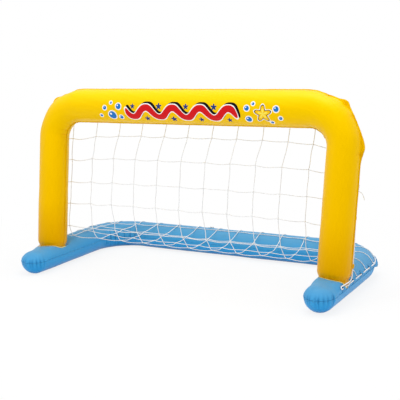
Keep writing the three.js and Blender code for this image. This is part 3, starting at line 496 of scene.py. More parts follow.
class Tree:
    """The node tree of a material or world, with short calls for the nodes used here."""

    def __init__(self, owner):
        owner.use_nodes = True
        self.owner = owner
        self.nodes = owner.node_tree.nodes
        self.links = owner.node_tree.links
        self.shader = self.nodes.get("Principled BSDF")

    def plug(self, socket, value):
        if isinstance(value, bpy.types.NodeSocket):
            self.links.new(value, socket)
        else:
            socket.default_value = value

    def node(self, kind, output=0, settings=(), **inputs):
        node = self.nodes.new(kind)
        for key, value in dict(settings).items():
            setattr(node, key, value)
        for key, value in inputs.items():
            self.plug(node.inputs[int(key[1:]) if key[0] == "i" and key[1:].isdigit() else key], value)
        return node.outputs[output]

    def set(self, **inputs):
        for key, value in inputs.items():
            self.plug(self.shader.inputs[key.replace("_", " ")], value)

    def math(self, operation, a, b=0.0, c=0.0):
        return self.node("ShaderNodeMath", settings={"operation": operation}, i0=a, i1=b, i2=c)

    def add(self, a, b):
        return self.math("ADD", a, b)

    def minus(self, a, b):
        return self.math("SUBTRACT", a, b)

    def times(self, a, b):
        return self.math("MULTIPLY", a, b)

    def length(self, a, b):
        return self.math("SQRT", self.add(self.times(a, a), self.times(b, b)))

    def blend(self, share, a, b):
        return self.node("ShaderNodeMix", output=2, settings={"data_type": "RGBA"}, i0=share, i6=a, i7=b)

    def mix_shaders(self, share, a, b):
        return self.node("ShaderNodeMixShader", i0=share, i1=a, i2=b)

    def noise(self, scale, detail=NOISE_DETAIL, roughness=0.5):
        inputs = {"Vector": self.position(), "Scale": scale, "Detail": detail, "Roughness": roughness}
        return self.node("ShaderNodeTexNoise", **inputs)

    def bump(self, height, distance, strength=1.0, **under):
        return self.node("ShaderNodeBump", Height=height, Distance=distance, Strength=strength, **under)

    def position(self):
        return self.node("ShaderNodeTexCoord", output="Object")

    def parts(self, vector):
        node = self.nodes.new("ShaderNodeSeparateXYZ")
        self.plug(node.inputs[0], vector)
        return node.outputs

    def along_and_around(self):
        return self.parts(self.node("ShaderNodeUVMap", settings={"uv_map": "UVMap"}))[:2]

    def attribute(self, name):
        return self.node("ShaderNodeAttribute", output="Fac", settings={"attribute_name": name})

    def ramp(self, share, stops):
        node = self.nodes.new("ShaderNodeValToRGB")
        self.plug(node.inputs[0], share)
        elements = node.color_ramp.elements
        while len(elements) < len(stops):
            elements.new(0.5)
        for element, (place, colour) in zip(elements, stops):
            element.position = place
            element.color = colour
        return node.outputs[0]

    def seen_by(self, *rays):
        """1 where a ray of one of these kinds arrives, else 0."""
        paths = self.nodes.new("ShaderNodeLightPath").outputs
        return reduce(lambda a, b: self.math("MAXIMUM", a, b), [paths[ray] for ray in rays])


GRAIN_SCALE = 900
MOTTLE_SCALE = 9
CREASE_SCALE = 60
GLOSS_SCALE = 30
CREASE_DETAIL = 4.0
CREASE_ROUGHNESS = 0.6
GRAIN_DEPTH = 0.00006
CREASE_DEPTH = 0.0003
CREASE_STRENGTH = 0.35
MOTTLE_RISE = 0.03
# Shares of painted shade that darkens the laps and the folds towards the fold colour
LAP_SHADE = 0.05
FOLD_SHADE = 0.8
WELD_PITCH = 0.0016
WELD_DEPTH = 0.0002
FILM_ROUGHNESS = 0.33
FILM_ROUGHNESS_SPREAD = 0.14
FILM_SPECULAR = 0.3


def film_material(name, tones, paint=None):
    """Glossy vinyl film with painted light and shade, paler high up and darker low down, with faint grain,
    painted shade in folds that grows with the fold attribute, and a ribbed weld with a little painted
    shade where the lap attribute is 1."""
    tree = Tree(bpy.data.materials.new(name))
    # Painted light and shade: the tone ramps with height, paler high up and darker low down
    rise = tree.parts(tree.position())[2]
    height = tree.math("MULTIPLY_ADD", tree.noise(MOTTLE_SCALE), MOTTLE_RISE, rise)
    tone = tree.ramp(tree.times(height, 1 / CAD_HIGH[2]), tones["tone and painted light by height"])
    # Painted shade: laps and folds darken towards the fold colour
    lap = tree.attribute("lap")
    tone = tree.blend(tree.times(lap, LAP_SHADE), tone, tones["fold"])
    fold = tree.math("MINIMUM", tree.attribute("fold"), 1.0)
    tone = tree.blend(tree.times(fold, FOLD_SHADE), tone, tones["fold"])
    if paint:
        tone = paint(tree, tone)
    along, _ = tree.along_and_around()
    ribs = tree.times(tree.math("SINE", tree.times(along, 2 * math.pi / WELD_PITCH)), lap)
    crease = tree.noise(CREASE_SCALE, CREASE_DETAIL, CREASE_ROUGHNESS)
    normal = tree.bump(tree.noise(GRAIN_SCALE, FINE_DETAIL), GRAIN_DEPTH)
    normal = tree.bump(crease, CREASE_DEPTH, CREASE_STRENGTH, Normal=normal)
    normal = tree.bump(ribs, WELD_DEPTH, Normal=normal)
    rough = tree.math("MULTIPLY_ADD", tree.noise(GLOSS_SCALE), FILM_ROUGHNESS_SPREAD, FILM_ROUGHNESS)
    tree.set(Base_Color=tone, Specular_Tint=tone, Roughness=rough, Normal=normal)
    tree.set(Specular_IOR_Level=FILM_SPECULAR)
    return tree.owner


# Colours of the films by share of the goal's height, with painted light and shade that make them paler
# high up and darker low down, and the painted shade where they fold and lap
YELLOW = {
    "tone and painted light by height": [
        (0.06, srgb(212, 146, 0)), (0.17, srgb(224, 164, 0)), (0.40, srgb(241, 188, 0)),
        (0.80, srgb(246, 197, 0)), (1.00, srgb(252, 208, 0)),
    ],
    "fold": srgb(222, 140, 0),
}
PALE_YELLOW = {
    "tone and painted light by height": [(0.0, srgb(255, 232, 120)), (1.0, srgb(255, 232, 120))],
    "fold": srgb(240, 190, 30),
}
BLUE = {
    "tone and painted light by height": [
        (0.00, srgb(12, 108, 184)), (0.03, srgb(28, 144, 212)), (0.08, srgb(62, 160, 220)),
        (0.15, srgb(88, 158, 204)),
    ],
    "fold": srgb(4, 92, 160),
}

# Cords: the pitch of the twine's plies, the turn of the rope's yarn in radians per metre, their fuzz,
# and the painted shade that darkens the grooves between plies and yarns
CORD_WHITE = srgb(253, 253, 253)
CORD_SHEEN = 0.2
FUZZ_DEPTH = 0.0001
FUZZ_STRENGTH = 0.5
FUZZ_ROUGHNESS = 0.7
TWINE_GROOVE_SHADE = srgb(232, 233, 233)
TWINE_PITCH = 0.005
TWINE_FUZZ_SCALE = 1400
TWINE_ROUGHNESS = 0.72
PLY_DEPTH = 0.0004
ROPE_GROOVE_SHADE = srgb(232, 233, 234)
ROPE_FUZZ_SCALE = 1500
ROPE_ROUGHNESS = 0.7
YARN_ALONG = 3600.0
YARN_AROUND = -2600.0
YARN_GROOVE_SHADE_SPREAD = 0.3
YARN_DEPTH = 0.00015
YARN_STRENGTH = 0.8


def cord_material(tree, colour, relief, depth, strength, fuzz_scale, roughness):
    fuzz = tree.noise(fuzz_scale, roughness=FUZZ_ROUGHNESS)
    normal = tree.bump(relief, depth, strength, Normal=tree.bump(fuzz, FUZZ_DEPTH, FUZZ_STRENGTH))
    tree.set(Base_Color=colour, Roughness=roughness, Normal=normal, Sheen_Weight=CORD_SHEEN)
    return tree.owner


def twine_material():
    tree = Tree(bpy.data.materials.new("white_twine"))
    along, around = tree.along_and_around()
    twist = tree.add(tree.times(along, 2 * math.pi / TWINE_PITCH), tree.times(around, 1 / TWINE_RADIUS))
    ply = tree.math("ABSOLUTE", tree.math("SINE", twist))
    # Painted shade: darker in the grooves between the plies, where the ply relief is low
    colour = tree.blend(ply, TWINE_GROOVE_SHADE, CORD_WHITE)
    return cord_material(tree, colour, ply, PLY_DEPTH, 1.0, TWINE_FUZZ_SCALE, TWINE_ROUGHNESS)


def rope_material():
    tree = Tree(bpy.data.materials.new("white_rope"))
    along, around = tree.along_and_around()
    yarn = tree.math("SINE", tree.add(tree.times(along, YARN_ALONG), tree.times(around, YARN_AROUND)))
    # Painted shade: darker in the grooves of the yarn, where the yarn relief is low
    share = tree.math("MULTIPLY_ADD", yarn, YARN_GROOVE_SHADE_SPREAD, 0.5)
    colour = tree.blend(share, ROPE_GROOVE_SHADE, CORD_WHITE)
    return cord_material(tree, colour, yarn, YARN_DEPTH, YARN_STRENGTH, ROPE_FUZZ_SCALE, ROPE_ROUGHNESS)


# Clear vinyl of the valves, faintly cloudy
CLOUD_SCALE = 260
CLOUD_SHADE = srgb(214, 226, 234)
CLEAR_SHADE = srgb(236, 242, 246)
VINYL_ROUGHNESS = 0.26
VINYL_ROUGHNESS_SPREAD = 0.12
VINYL_GRAIN_SCALE = 1200
VINYL_GRAIN_DEPTH = 0.00005
VINYL_GRAIN_STRENGTH = 0.6
VINYL_CLEARNESS = 0.45
VINYL_IOR = 1.5


def vinyl_material():
    tree = Tree(bpy.data.materials.new("clear_vinyl"))
    cloud = tree.noise(CLOUD_SCALE)
    rough = tree.math("MULTIPLY_ADD", cloud, VINYL_ROUGHNESS_SPREAD, VINYL_ROUGHNESS)
    grain = tree.noise(VINYL_GRAIN_SCALE, FINE_DETAIL)
    tree.set(Base_Color=tree.blend(cloud, CLOUD_SHADE, CLEAR_SHADE), Roughness=rough)
    tree.set(Normal=tree.bump(grain, VINYL_GRAIN_DEPTH, VINYL_GRAIN_STRENGTH))
    tree.set(Transmission_Weight=VINYL_CLEARNESS, IOR=VINYL_IOR)
    return tree.owner


# Print on the front of the crossbar: a wavy ribbon between bubbles and small stars

PRINT_ANGLE = 115
RIBBON_REACH = 0.226
RIBBON_HALF_WIDTH = 0.0125
RIBBON_WAVE = 0.019
RIBBON_PERIOD = 0.116
PRINT_EDGE = 0.0035
OUTLINE = 0.0036
SHADOW_ALONG = 0.008
SHADOW_DOWN = -0.007
# Bubbles: place along the crossbar, place down its face, radius
BUBBLES = [
    (-0.300, 0.014, 0.017), (-0.268, -0.022, 0.011), (-0.262, 0.022, 0.008), (-0.332, -0.016, 0.0075),
    (-0.353, 0.016, 0.0055), (-0.303, -0.036, 0.005),
    (0.276, -0.022, 0.009), (0.280, 0.020, 0.011), (0.388, -0.020, 0.010), (0.300, -0.038, 0.0055),
    (0.402, 0.014, 0.0065), (0.366, 0.034, 0.006),
]
# The large star at the ribbon's end, drawn like the small ones, and how far in its pale middle is
SUN = (0.337, -0.002, 0.030)
SUN_MIDDLE = -0.010
# Stars: place along the crossbar, place down its face, radius
STARS = [
    (-0.203, -0.023, 0.0105), (-0.087, -0.024, 0.013), (0.029, -0.024, 0.0115), (0.145, -0.024, 0.013),
    (-0.145, 0.027, 0.0115), (-0.029, 0.027, 0.013), (0.087, 0.027, 0.0115), (0.203, 0.026, 0.0105),
]
STAR_POINTS = 5
STAR_SHAPE = 0.27
GLINT_SHARE = 0.36
GLINT_RADIUS_SHARE = 0.26
INK_BLACK = srgb(22, 20, 24)
INK_WHITE = srgb(250, 250, 248)
INK_RED = srgb(214, 30, 34)
INK_LIGHT_BLUE = srgb(38, 118, 200)
INK_DARK_BLUE = srgb(30, 58, 128)
INK_GOLD = srgb(250, 196, 20)
INK_PALE_GOLD = srgb(255, 232, 90)


def crossbar_print(tree, tone):
    """Paints the print's layers on a tone. Each shape is a field of distances from its rim."""
    along, around = tree.along_and_around()
    down = tree.minus(around, math.radians(PRINT_ANGLE) * BAR_RADIUS)

    def disc(u, w, radius):
        return tree.minus(tree.length(tree.minus(along, u), tree.minus(down, w)), radius)

    def glint(u, w, radius):
        off = radius * GLINT_SHARE
        return disc(u - off, w - off, radius * GLINT_RADIUS_SHARE)

    def star(u, w, radius):
        du, dw = tree.minus(along, u), tree.minus(down, w)
        turn = tree.math("ARCTAN2", du, tree.times(dw, -1.0))
        ray = tree.math("COSINE", tree.times(turn, float(STAR_POINTS)))
        rim = tree.math("MULTIPLY_ADD", ray, radius * STAR_SHAPE, radius * (1 - STAR_SHAPE))
        return tree.minus(tree.length(du, dw), rim)

    def ribbon(shift_along, shift_down):
        u, w = tree.minus(along, shift_along), tree.minus(down, shift_down)
        phase = tree.times(u, 2 * math.pi / RIBBON_PERIOD)
        wave = tree.times(tree.math("SINE", phase), RIBBON_WAVE)
        steep = tree.times(tree.math("COSINE", phase), RIBBON_WAVE * 2 * math.pi / RIBBON_PERIOD)
        off = tree.math("DIVIDE", tree.math("ABSOLUTE", tree.minus(w, wave)), tree.length(steep, 1.0))
        past = tree.math("MAXIMUM", tree.minus(tree.math("ABSOLUTE", u), RIBBON_REACH), 0.0)
        return tree.minus(tree.length(off, past), RIBBON_HALF_WIDTH)

    def nearest(shape, places):
        fields = [shape(*place) for place in places]
        return reduce(lambda a, b: tree.math("MINIMUM", a, b), fields)

    bubbles = nearest(disc, BUBBLES)
    sun = star(*SUN)
    face = ribbon(0.0, 0.0)
    for field, limit, colour in (
        (ribbon(SHADOW_ALONG, SHADOW_DOWN), PRINT_EDGE, INK_BLACK),
        (face, PRINT_EDGE, INK_WHITE),
        (face, 0.0, INK_RED),
        (bubbles, PRINT_EDGE, INK_WHITE),
        (bubbles, 0.0, INK_LIGHT_BLUE),
        (nearest(glint, BUBBLES), 0.0, INK_WHITE),
        (nearest(star, STARS), 0.0, INK_DARK_BLUE),
        (sun, PRINT_EDGE + OUTLINE, INK_WHITE),
        (sun, OUTLINE, INK_BLACK),
        (sun, 0.0, INK_GOLD),
        (sun, SUN_MIDDLE, INK_PALE_GOLD),
    ):
        tone = tree.blend(tree.math("LESS_THAN", field, limit), tone, colour)
    return tone


# Films: what describes each tube's film is a centreline, rows, radius, the uvs' radius and the
# functions of its laps, waves and dents

Film = namedtuple("Film", "spine rows radius_at around_radius laps wave dent")

LAP_COLUMNS = 4
ARC_COLUMNS = 56
STATION_STEP = 0.008
BEND_STATION_STEP = 0.003
# How fast the wave of a seam grows towards its edge
LAP_SWING = 1.5
# Depth of a fold that gets the full painted shade
FOLD_DEPTH = 0.0045
# Where the small creases all along both seams start, and how unevenly creases are spaced and sized
SMALL_CREASE_START = 0.030
CREASE_PLACE_SHARES = (0.2, 0.8)
CREASE_WIDTH_SHARES = (0.7, 1.3)
CREASE_DEPTH_SHARES = (0.5, 1.2)


def profile_columns():
    """Columns of a half film: outer lap, half round and inner lap, as angle and lap share."""
    laps = [(0.0, 1 - k / LAP_COLUMNS) for k in range(LAP_COLUMNS)]
    arc = [(math.pi * k / ARC_COLUMNS, 0.0) for k in range(ARC_COLUMNS + 1)]
    inner = [(math.pi, (k + 1) / LAP_COLUMNS) for k in range(LAP_COLUMNS)]
    return np.array(laps + arc + inner)


COLUMN_ANGLES, COLUMN_LAPS = profile_columns().T
COLUMNS = len(COLUMN_ANGLES)


def creases(seed, start, end, pitch, half, depth):
    """Seeded creases along a run, as rows of place, depth and half width."""
    draw = random.Random(seed)
    count = max(int((end - start) / pitch), 1)
    own_run = (end - start) / count
    places = [start + (k + draw.uniform(*CREASE_PLACE_SHARES)) * own_run for k in range(count)]
    halves = [half * draw.uniform(*CREASE_WIDTH_SHARES) for _ in places]
    depths = [depth * draw.uniform(*CREASE_DEPTH_SHARES) for _ in places]
    return list(zip(places, depths, halves))


def crease_families(spine, bend_creases, small_creases, end):
    """Families of creases that start at a seam: their rows, its angle, how far round they fade, slant."""
    families = []
    for seed, before, after, pitch, half, depth, seam, spread, slant in bend_creases:
        rows = creases(seed, spine.bar_end + before, spine.bend_end + after, pitch, half, depth)
        families.append((rows, seam, spread, slant))
    seed, pitch, half, depth, spread = small_creases
    rows = creases(seed, SMALL_CREASE_START, end, pitch, half, depth)
    return families + [(rows, 0, spread, 0), (rows, math.pi, spread, 0)]


def pulled_in(run, angles, side, families):
    """How far families of creases pull the film in."""
    return sum(
        hills(run + slant * side, rows) * np.exp(-(((angles - seam) / spread) ** 2))
        for rows, seam, spread, slant in families
    )


def body_stations(spine, before, after, end, end_step):
    """Distances from the middle to the end of a leg, close together round the bend."""
    fine_start, fine_end = spine.bar_end - before, spine.bend_end + after
    return stations(
        (0.0, fine_start, STATION_STEP), (fine_start, fine_end, BEND_STATION_STEP), (fine_end, end, end_step)
    )


def film_sheet(name, film, side, material, shape=None):
    """One half of a tube's film with its laps, as a closed thin sheet. film.rows gives a row of distances
    per station, with a value per profile column where the row doesn't run straight across."""
    rows = film.rows(side)
    grid = np.broadcast_to(rows, (len(rows), COLUMNS)).copy()
    angles = np.broadcast_to(COLUMN_ANGLES, grid.shape)
    shares = np.broadcast_to(COLUMN_LAPS, grid.shape)
    flat = grid.ravel()
    centre, out, _ = film.spine.at(flat)
    lap_out, lap_in = film.laps(grid)
    lap = np.where(angles < math.pi / 2, lap_out, lap_in)
    dent, folds = film.dent(grid, angles, side)
    dented = film.radius_at(flat).reshape(grid.shape) - dent
    reach = (dented + lap * shares) * np.cos(angles)
    rise = np.where(shares > 0, SEAM_EDGE, np.maximum(dented * np.sin(angles), SEAM_EDGE))
    rise = rise * side + film.wave(grid, angles) * shares**LAP_SWING
    points = centre + reach.ravel()[:, None] * out + rise.ravel()[:, None] * film.spine.normal
    if shape:
        points = shape(points)
    uvs = np.column_stack([flat, (angles * film.around_radius).ravel()])
    faces = grid_faces(*grid.shape)
    sample = len(faces) // 2 + COLUMNS // 2
    faces = faced_away(points, faces, sample, centre[faces[sample][0]])
    piece = add_mesh(name, points, faces, uvs, material)
    add_attribute(piece, "lap", shares > 0)
    # The fold attribute sets how much painted shade a fold gets
    add_attribute(piece, "fold", folds / FOLD_DEPTH)
    thicken(piece)
    return piece


# Arch films

ARCH_LAP = 0.0035
# Wavy ears of the outer seam: place as a share of the bend, height, half width
EARS = [(0.44, 0.012, 0.013), (0.99, 0.010, 0.028)]
EAR_BASE = 0.001
EAR_MARGIN = 0.050
# Where the arch's outer side is pulled in beside its ears: place, depth, half width, spread round it
CHAMFERS = [(0.20, 0.006, 0.030, 1.1), (0.72, 0.003, 0.024, 0.8)]
# How far above the foot's end the laps start and stop narrowing
LAP_FADE_START = 0.150
LAP_FADE_END = 0.030
SEAM_WAVE = 0.0025
SEAM_WAVE_PITCH = 0.046
SEAM_WAVE_MARGIN = 0.060
# Creases round the bend: seed, how far past its start and its end they run, pitch, half width, depth,
# angle of their seam, how far round they fade, slant
ARCH_CREASES = [
    (11, 0.010, -0.010, 0.030, 0.0040, 0.0012, math.pi, 0.55, 0),
    (12, -0.030, 0.040, 0.042, 0.0055, 0.0013, 0, 0.42, 0.004),
]
# Small creases: seed, pitch, half width, depth, how far round they fade
ARCH_SMALL_CREASES = (13, 0.021, 0.003, 0.0006, 0.16)
# Gathers round a foot: seed, start, end, pitch and half width in radians, depth; and how far above the
# foot's end they start and are full
FOOT_GATHERS = (14, 0.0, 2 * math.pi, 0.42, 0.06, 0.0011)
GATHER_START = 0.055
GATHER_FULL = 0.020
# Slow unevenness: height, pitch, seed
ARCH_SEAM_DRIFT = [(0.0004, 0.11, 5)]
ARCH_FACE_DRIFT = [(0.0006, 0.41, 21)]
ARCH_TWIST_DRIFT = [(0.0004, 0.23, 22)]
TWIST_SLANT = 0.3
# How far before and after the bend its rows are close together
FINE_BEFORE_BEND = 0.040
FINE_AFTER_BEND = 0.050
FOOT_ROWS = 14

arch_ears = arch.round_bend(EARS)
arch_chamfers = [([row[:3]], 0, row[3], 0) for row in arch.round_bend(CHAMFERS)]
arch_creases = crease_families(arch, ARCH_CREASES, ARCH_SMALL_CREASES, taper_start)
foot_gathers = creases(*FOOT_GATHERS)


def arch_laps(distances):
    run = np.abs(distances)
    bend = bump(run, arch.bar_end - EAR_MARGIN, arch.bend_end + EAR_MARGIN)
    fade = smooth_step(run, post_start - LAP_FADE_START, post_start - LAP_FADE_END)
    outer = ARCH_LAP + EAR_BASE * bend + hills(run, arch_ears)
    return mix(outer, FILM / 2, fade), mix(ARCH_LAP, FILM / 2, fade)


def arch_wave(distances, angles):
    run = np.abs(distances)
    near = bump(run, arch.bar_end - SEAM_WAVE_MARGIN, arch.bend_end + SEAM_WAVE_MARGIN)
    wave = np.sin(2 * math.pi * run / SEAM_WAVE_PITCH + np.sign(distances))
    return SEAM_WAVE * near * wave + drift(distances, ARCH_SEAM_DRIFT)


def arch_dent(distances, angles, side):
    """How far the film is pulled in, and how much of that is folds."""
    run = np.abs(distances)
    gather_share = smooth_step(run, post_start - GATHER_START, post_start - GATHER_FULL)
    folds = pulled_in(run, angles, side, arch_creases)
    folds = folds + gather_share * hills(angles * side + math.pi, foot_gathers)
    slow = drift(distances, ARCH_FACE_DRIFT) * np.sin(angles)
    slow = slow + drift(distances + TWIST_SLANT * angles * side, ARCH_TWIST_DRIFT)
    return folds + slow + pulled_in(run, angles, side, arch_chamfers), folds


def foot_ends(goal_side, side):
    """For each profile column, how far a post's film runs before it meets the arm's film."""
    low = np.full(COLUMNS, taper_start)
    high = np.full(COLUMNS, arch.end)
    for _ in range(HALVINGS):
        middle = (low + high) / 2
        reach = arch_radius(middle)
        centre, out, _ = arch.at(middle * goal_side)
        rise = np.maximum(reach * np.sin(COLUMN_ANGLES), SEAM_EDGE) * side
        points = centre + (reach * np.cos(COLUMN_ANGLES))[:, None] * out + rise[:, None] * arch.normal
        above = points[:, 2] > arm_film_height(points[:, 0], points[:, 1]) + TOUCH
        low = np.where(above, middle, low)
        high = np.where(above, high, middle)
    return low


def arch_rows(side):
    body = body_stations(arch, FINE_BEFORE_BEND, FINE_AFTER_BEND, taper_start, STATION_STEP)
    body = [np.full(COLUMNS, d) for d in body]
    legs = []
    for goal_side in (-1, 1):
        ends = foot_ends(goal_side, side)
        foot = [mix(taper_start, ends, share) for share in np.linspace(0, 1, FOOT_ROWS)[1:]]
        legs.append(goal_side * np.array(body + foot))
    return np.vstack([legs[0][:0:-1], legs[1]])


# Base films

BASE_LAP = 0.0004
BASE_EARS = [(0.66, 0.015, 0.034)]
EAR_SWING = 0.030
BASE_CREASES = [
    (31, 0.010, -0.010, 0.032, 0.0035, 0.0038, math.pi, 0.5, 0),
    (32, -0.020, 0.020, 0.040, 0.0042, 0.0020, 0, 0.35, 0.003),
]
BASE_SMALL_CREASES = (33, 0.024, 0.003, 0.0006, 0.15)
# Folds round a toe: seed, start, end, pitch and half width in radians, depth
TOE_FOLDS = (35, -0.5 * math.pi, 0.5 * math.pi, 0.28, 0.06, 0.0046)
# Where the toe's folds grow along it, how high they reach, and the radii between which they fade at its tip
TOE_FOLD_START = -0.010
TOE_FOLD_FULL = 0.012
TOE_FOLD_HEIGHT = 0.021
TIP_RADIUS = 0.002
TIP_FADE_RADIUS = 0.014
BASE_SEAM_DRIFT = [(0.0007, 0.06, 6), (0.0005, 0.17, 7)]
BASE_FACE_DRIFT = [(0.0006, 0.37, 41)]
FINE_ROUND_BEND = 0.030
NOSE_ROWS = 25

base_ears = base.round_bend(BASE_EARS)
base_creases = crease_families(base, BASE_CREASES, BASE_SMALL_CREASES, base.end)
toe_folds = creases(*TOE_FOLDS)


def base_laps(distances):
    run = np.abs(distances)
    past = np.maximum(run - base.end, 0)
    edge = np.sqrt(np.maximum((BASE_RADIUS + BASE_LAP) ** 2 - past**2, 0))
    lap = np.maximum(edge - base_radius(distances), FILM)
    return lap + hills(run, base_ears), lap


def base_wave(distances, angles):
    swing = drift(distances, BASE_SEAM_DRIFT)
    for place, _, half in base_ears:
        share = (place - np.abs(distances)) / half
        swing = swing + EAR_SWING * share * np.exp(-(share**2)) * (angles < math.pi / 2)
    return swing


def base_dent(distances, angles, side):
    """How far the film is pulled in, and how much of that is folds."""
    run = np.abs(distances)
    past = np.maximum(run - base.end, 0)
    radius = base_radius(distances)
    round_share = np.arctan2(radius * np.cos(angles), np.maximum(past, FILM))
    low = np.exp(-((radius * np.sin(angles) / TOE_FOLD_HEIGHT) ** 2))
    nose = smooth_step(past, TOE_FOLD_START, TOE_FOLD_FULL) * low
    tip = smooth_step(radius, TIP_RADIUS, TIP_FADE_RADIUS)
    folds = pulled_in(run, angles, side, base_creases) + nose * hills(round_share, toe_folds) * tip
    return folds + drift(distances, BASE_FACE_DRIFT) * np.sin(angles), folds


def base_rows(side):
    body = body_stations(base, FINE_ROUND_BEND, FINE_ROUND_BEND, base.end, BEND_STATION_STEP)
    turns = np.linspace(0, math.pi / 2, NOSE_ROWS + 1)[1:]
    tip = base.end + BASE_RADIUS
    nose = [base.end + BASE_RADIUS * math.sin(turn) for turn in turns]
    right = body + nose + [tip + BASE_LAP / 2, tip + BASE_LAP - FILM]
    return np.array([-d for d in right[:0:-1]] + right)[:, None]


arch_film = Film(arch, arch_rows, arch_radius, BAR_RADIUS, arch_laps, arch_wave, arch_dent)
base_film = Film(base, base_rows, base_radius, BASE_RADIUS, base_laps, base_wave, base_dent)


def add_films():
    printed = film_material("yellow_printed_film", YELLOW, crossbar_print)
    yellow = film_material("yellow_film", YELLOW)
    blue = film_material("blue_film", BLUE)
    for half, film, side, material, slot, shape in (
        ("arch_front", arch_film, -1, printed, "yellow_film", None),
        ("arch_back", arch_film, 1, yellow, "yellow_film", None),
        ("base_upper", base_film, 1, blue, "blue_film", seated),
        ("base_lower", base_film, -1, blue, "blue_film", on_floor),
    ):
        piece = film_sheet(half + "_film", film, side, material, shape)
        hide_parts(half + "_panel")
    return yellow, blue


# Welds and soles of the posts

WELD_ROWS = 7
WELD_BEAD = 0.0009
# How strongly the ring shows the ribs and the painted lap shade that a seam's lap shows
WELD_LAP_SHARE = 0.7


def on_arm_skin(points, rise):
    """Lays points on an arm's film: straight down on the seat, and in towards the axis at its sides."""
    x, y, z = points[:, 0], points[:, 1], points[:, 2]
    dx = np.abs(x) - ARM_HALF_SPAN
    dz = z - AXIS_HEIGHT
    skin = (BASE_RADIUS + rise) / np.hypot(dx, dz)
    ceiling = arm_film_height(x, y) + rise
    on_side = AXIS_HEIGHT + dz * skin < seat_ceiling(x, y)[0]
    side = np.where(on_side, ARM_HALF_SPAN + dx * skin, np.abs(x)) * np.sign(x)
    return np.column_stack([side, y, np.where(on_side, AXIS_HEIGHT + dz * skin, ceiling)])


def foot_outline(goal_side):
    """Points round a post's foot where its film meets the arm, front half first, and their outward ways."""
    points, ways = [], []
    arcs = slice(LAP_COLUMNS, LAP_COLUMNS + ARC_COLUMNS + 1)
    for side in (-1, 1):
        ends = foot_ends(goal_side, side)[arcs] * goal_side
        found = arch.beside(ends, COLUMN_ANGLES[arcs] * side, arch_radius(ends))
        way = found - arch.at(ends)[0]
        way[:, 2] = 0
        order = slice(0, -1) if side < 0 else slice(-1, 0, -1)
        points.append(found[order])
        ways.append(unit(way)[order])
    return np.vstack(points), np.vstack(ways)


def add_welds(yellow):
    weld_film = film_material("weld_film", PALE_YELLOW)
    for name, goal_side in (("left", -1), ("right", 1)):
        outline, ways = foot_outline(goal_side)
        rows = []
        row = outline + ways * (FILM + TOUCH)
        for share in np.linspace(0, 1, WELD_ROWS):
            bead = WELD_BEAD * math.sin(math.pi * min(2 * share, 1))
            row = on_arm_skin(row, TOUCH + FILM + bead)
            rows.append(row)
            row = row + unit(row - outline + FILM * ways) * WELD_LAP / (WELD_ROWS - 1)
        points = np.vstack(rows)
        count = len(outline)
        uvs = grid_uvs(np.linspace(0, 2 * math.pi * POST_FOOT_RADIUS, count), np.arange(WELD_ROWS) * FILM)
        faces = grid_faces(WELD_ROWS, count, wrap=True)
        faces = faced_away(points, faces, 0, points[faces[0][0]] - arch.up)
        piece = add_mesh(name + "_weld_ring", points, faces, uvs, weld_film)
        add_attribute(piece, "lap", np.full(len(points), WELD_LAP_SHARE))
        thicken(piece)
        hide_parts(name + "_post_weld")
        sole = bpy.data.objects[name + "_post_sole"]
        sole.data.materials.clear()
        sole.data.materials.append(yellow)


# Border rope

ROPE_STEP = 0.0018
ROPE_SIDES = 15
ROPE_PITCH = 0.015
ROPE_STRANDS = 3
ROPE_GROOVE = 0.2
FINE_STEP = 0.006
TURN_STEPS = 6

pitch_between_columns = 2 * (FOOT_HALF_SPAN - NET_INSET) / (NET_COLUMNS - 1)
pitched_loops = [k * LOOP_EVERY * pitch_between_columns for k in range(LOOPS_EACH_WAY + 1)]
arch_bend_loop = mix(arch.bar_end, arch.bend_end, ARCH_BEND_LOOP_SHARE)
post_loops = [arch.end - share * POST_LENGTH for share in POST_LOOP_SHARES]
base_bend_loop = mix(base.bar_end, base.bend_end, BASE_BEND_LOOP_SHARE)
arm_loops = [mix(post_on_arm, base.bend_end, share) for share in ARM_LOOP_SHARES]
post_rope_end = post_loops[-1] + LOOP_WIDTH
arm_rope_end = arm_loops[0] + LOOP_RUN


def arch_rope_angle(distances):
    run = np.abs(distances)
    turned = smooth_step(run, arch.bar_end, arch_bend_loop - LOOP_WIDTH)
    lowered = smooth_step(run, post_loops[0], post_loops[-1] - LOOP_WIDTH)
    return np.radians(mix(mix(BAR_ROPE_ANGLE, POST_ROPE_ANGLE, turned), FOOT_ROPE_ANGLE, lowered))


def base_rope_angle(distances):
    turned = smooth_step(np.abs(distances), base.bar_end, base.bend_end)
    return np.radians(mix(REAR_ROPE_ANGLE, ARM_ROPE_ANGLE, turned))


def rope_side(spine, radius_at, angle_at):
    """A function that gives places along the rope's way beside a tube."""
    def place(distances, turn=0.0, lift=ROPE_OFFSET):
        return spine.beside(distances, angle_at(distances) + turn, radius_at(distances) + lift)

    return place


on_arch = rope_side(arch, arch_radius, arch_rope_angle)
on_base = rope_side(base, base_radius, base_rope_angle)


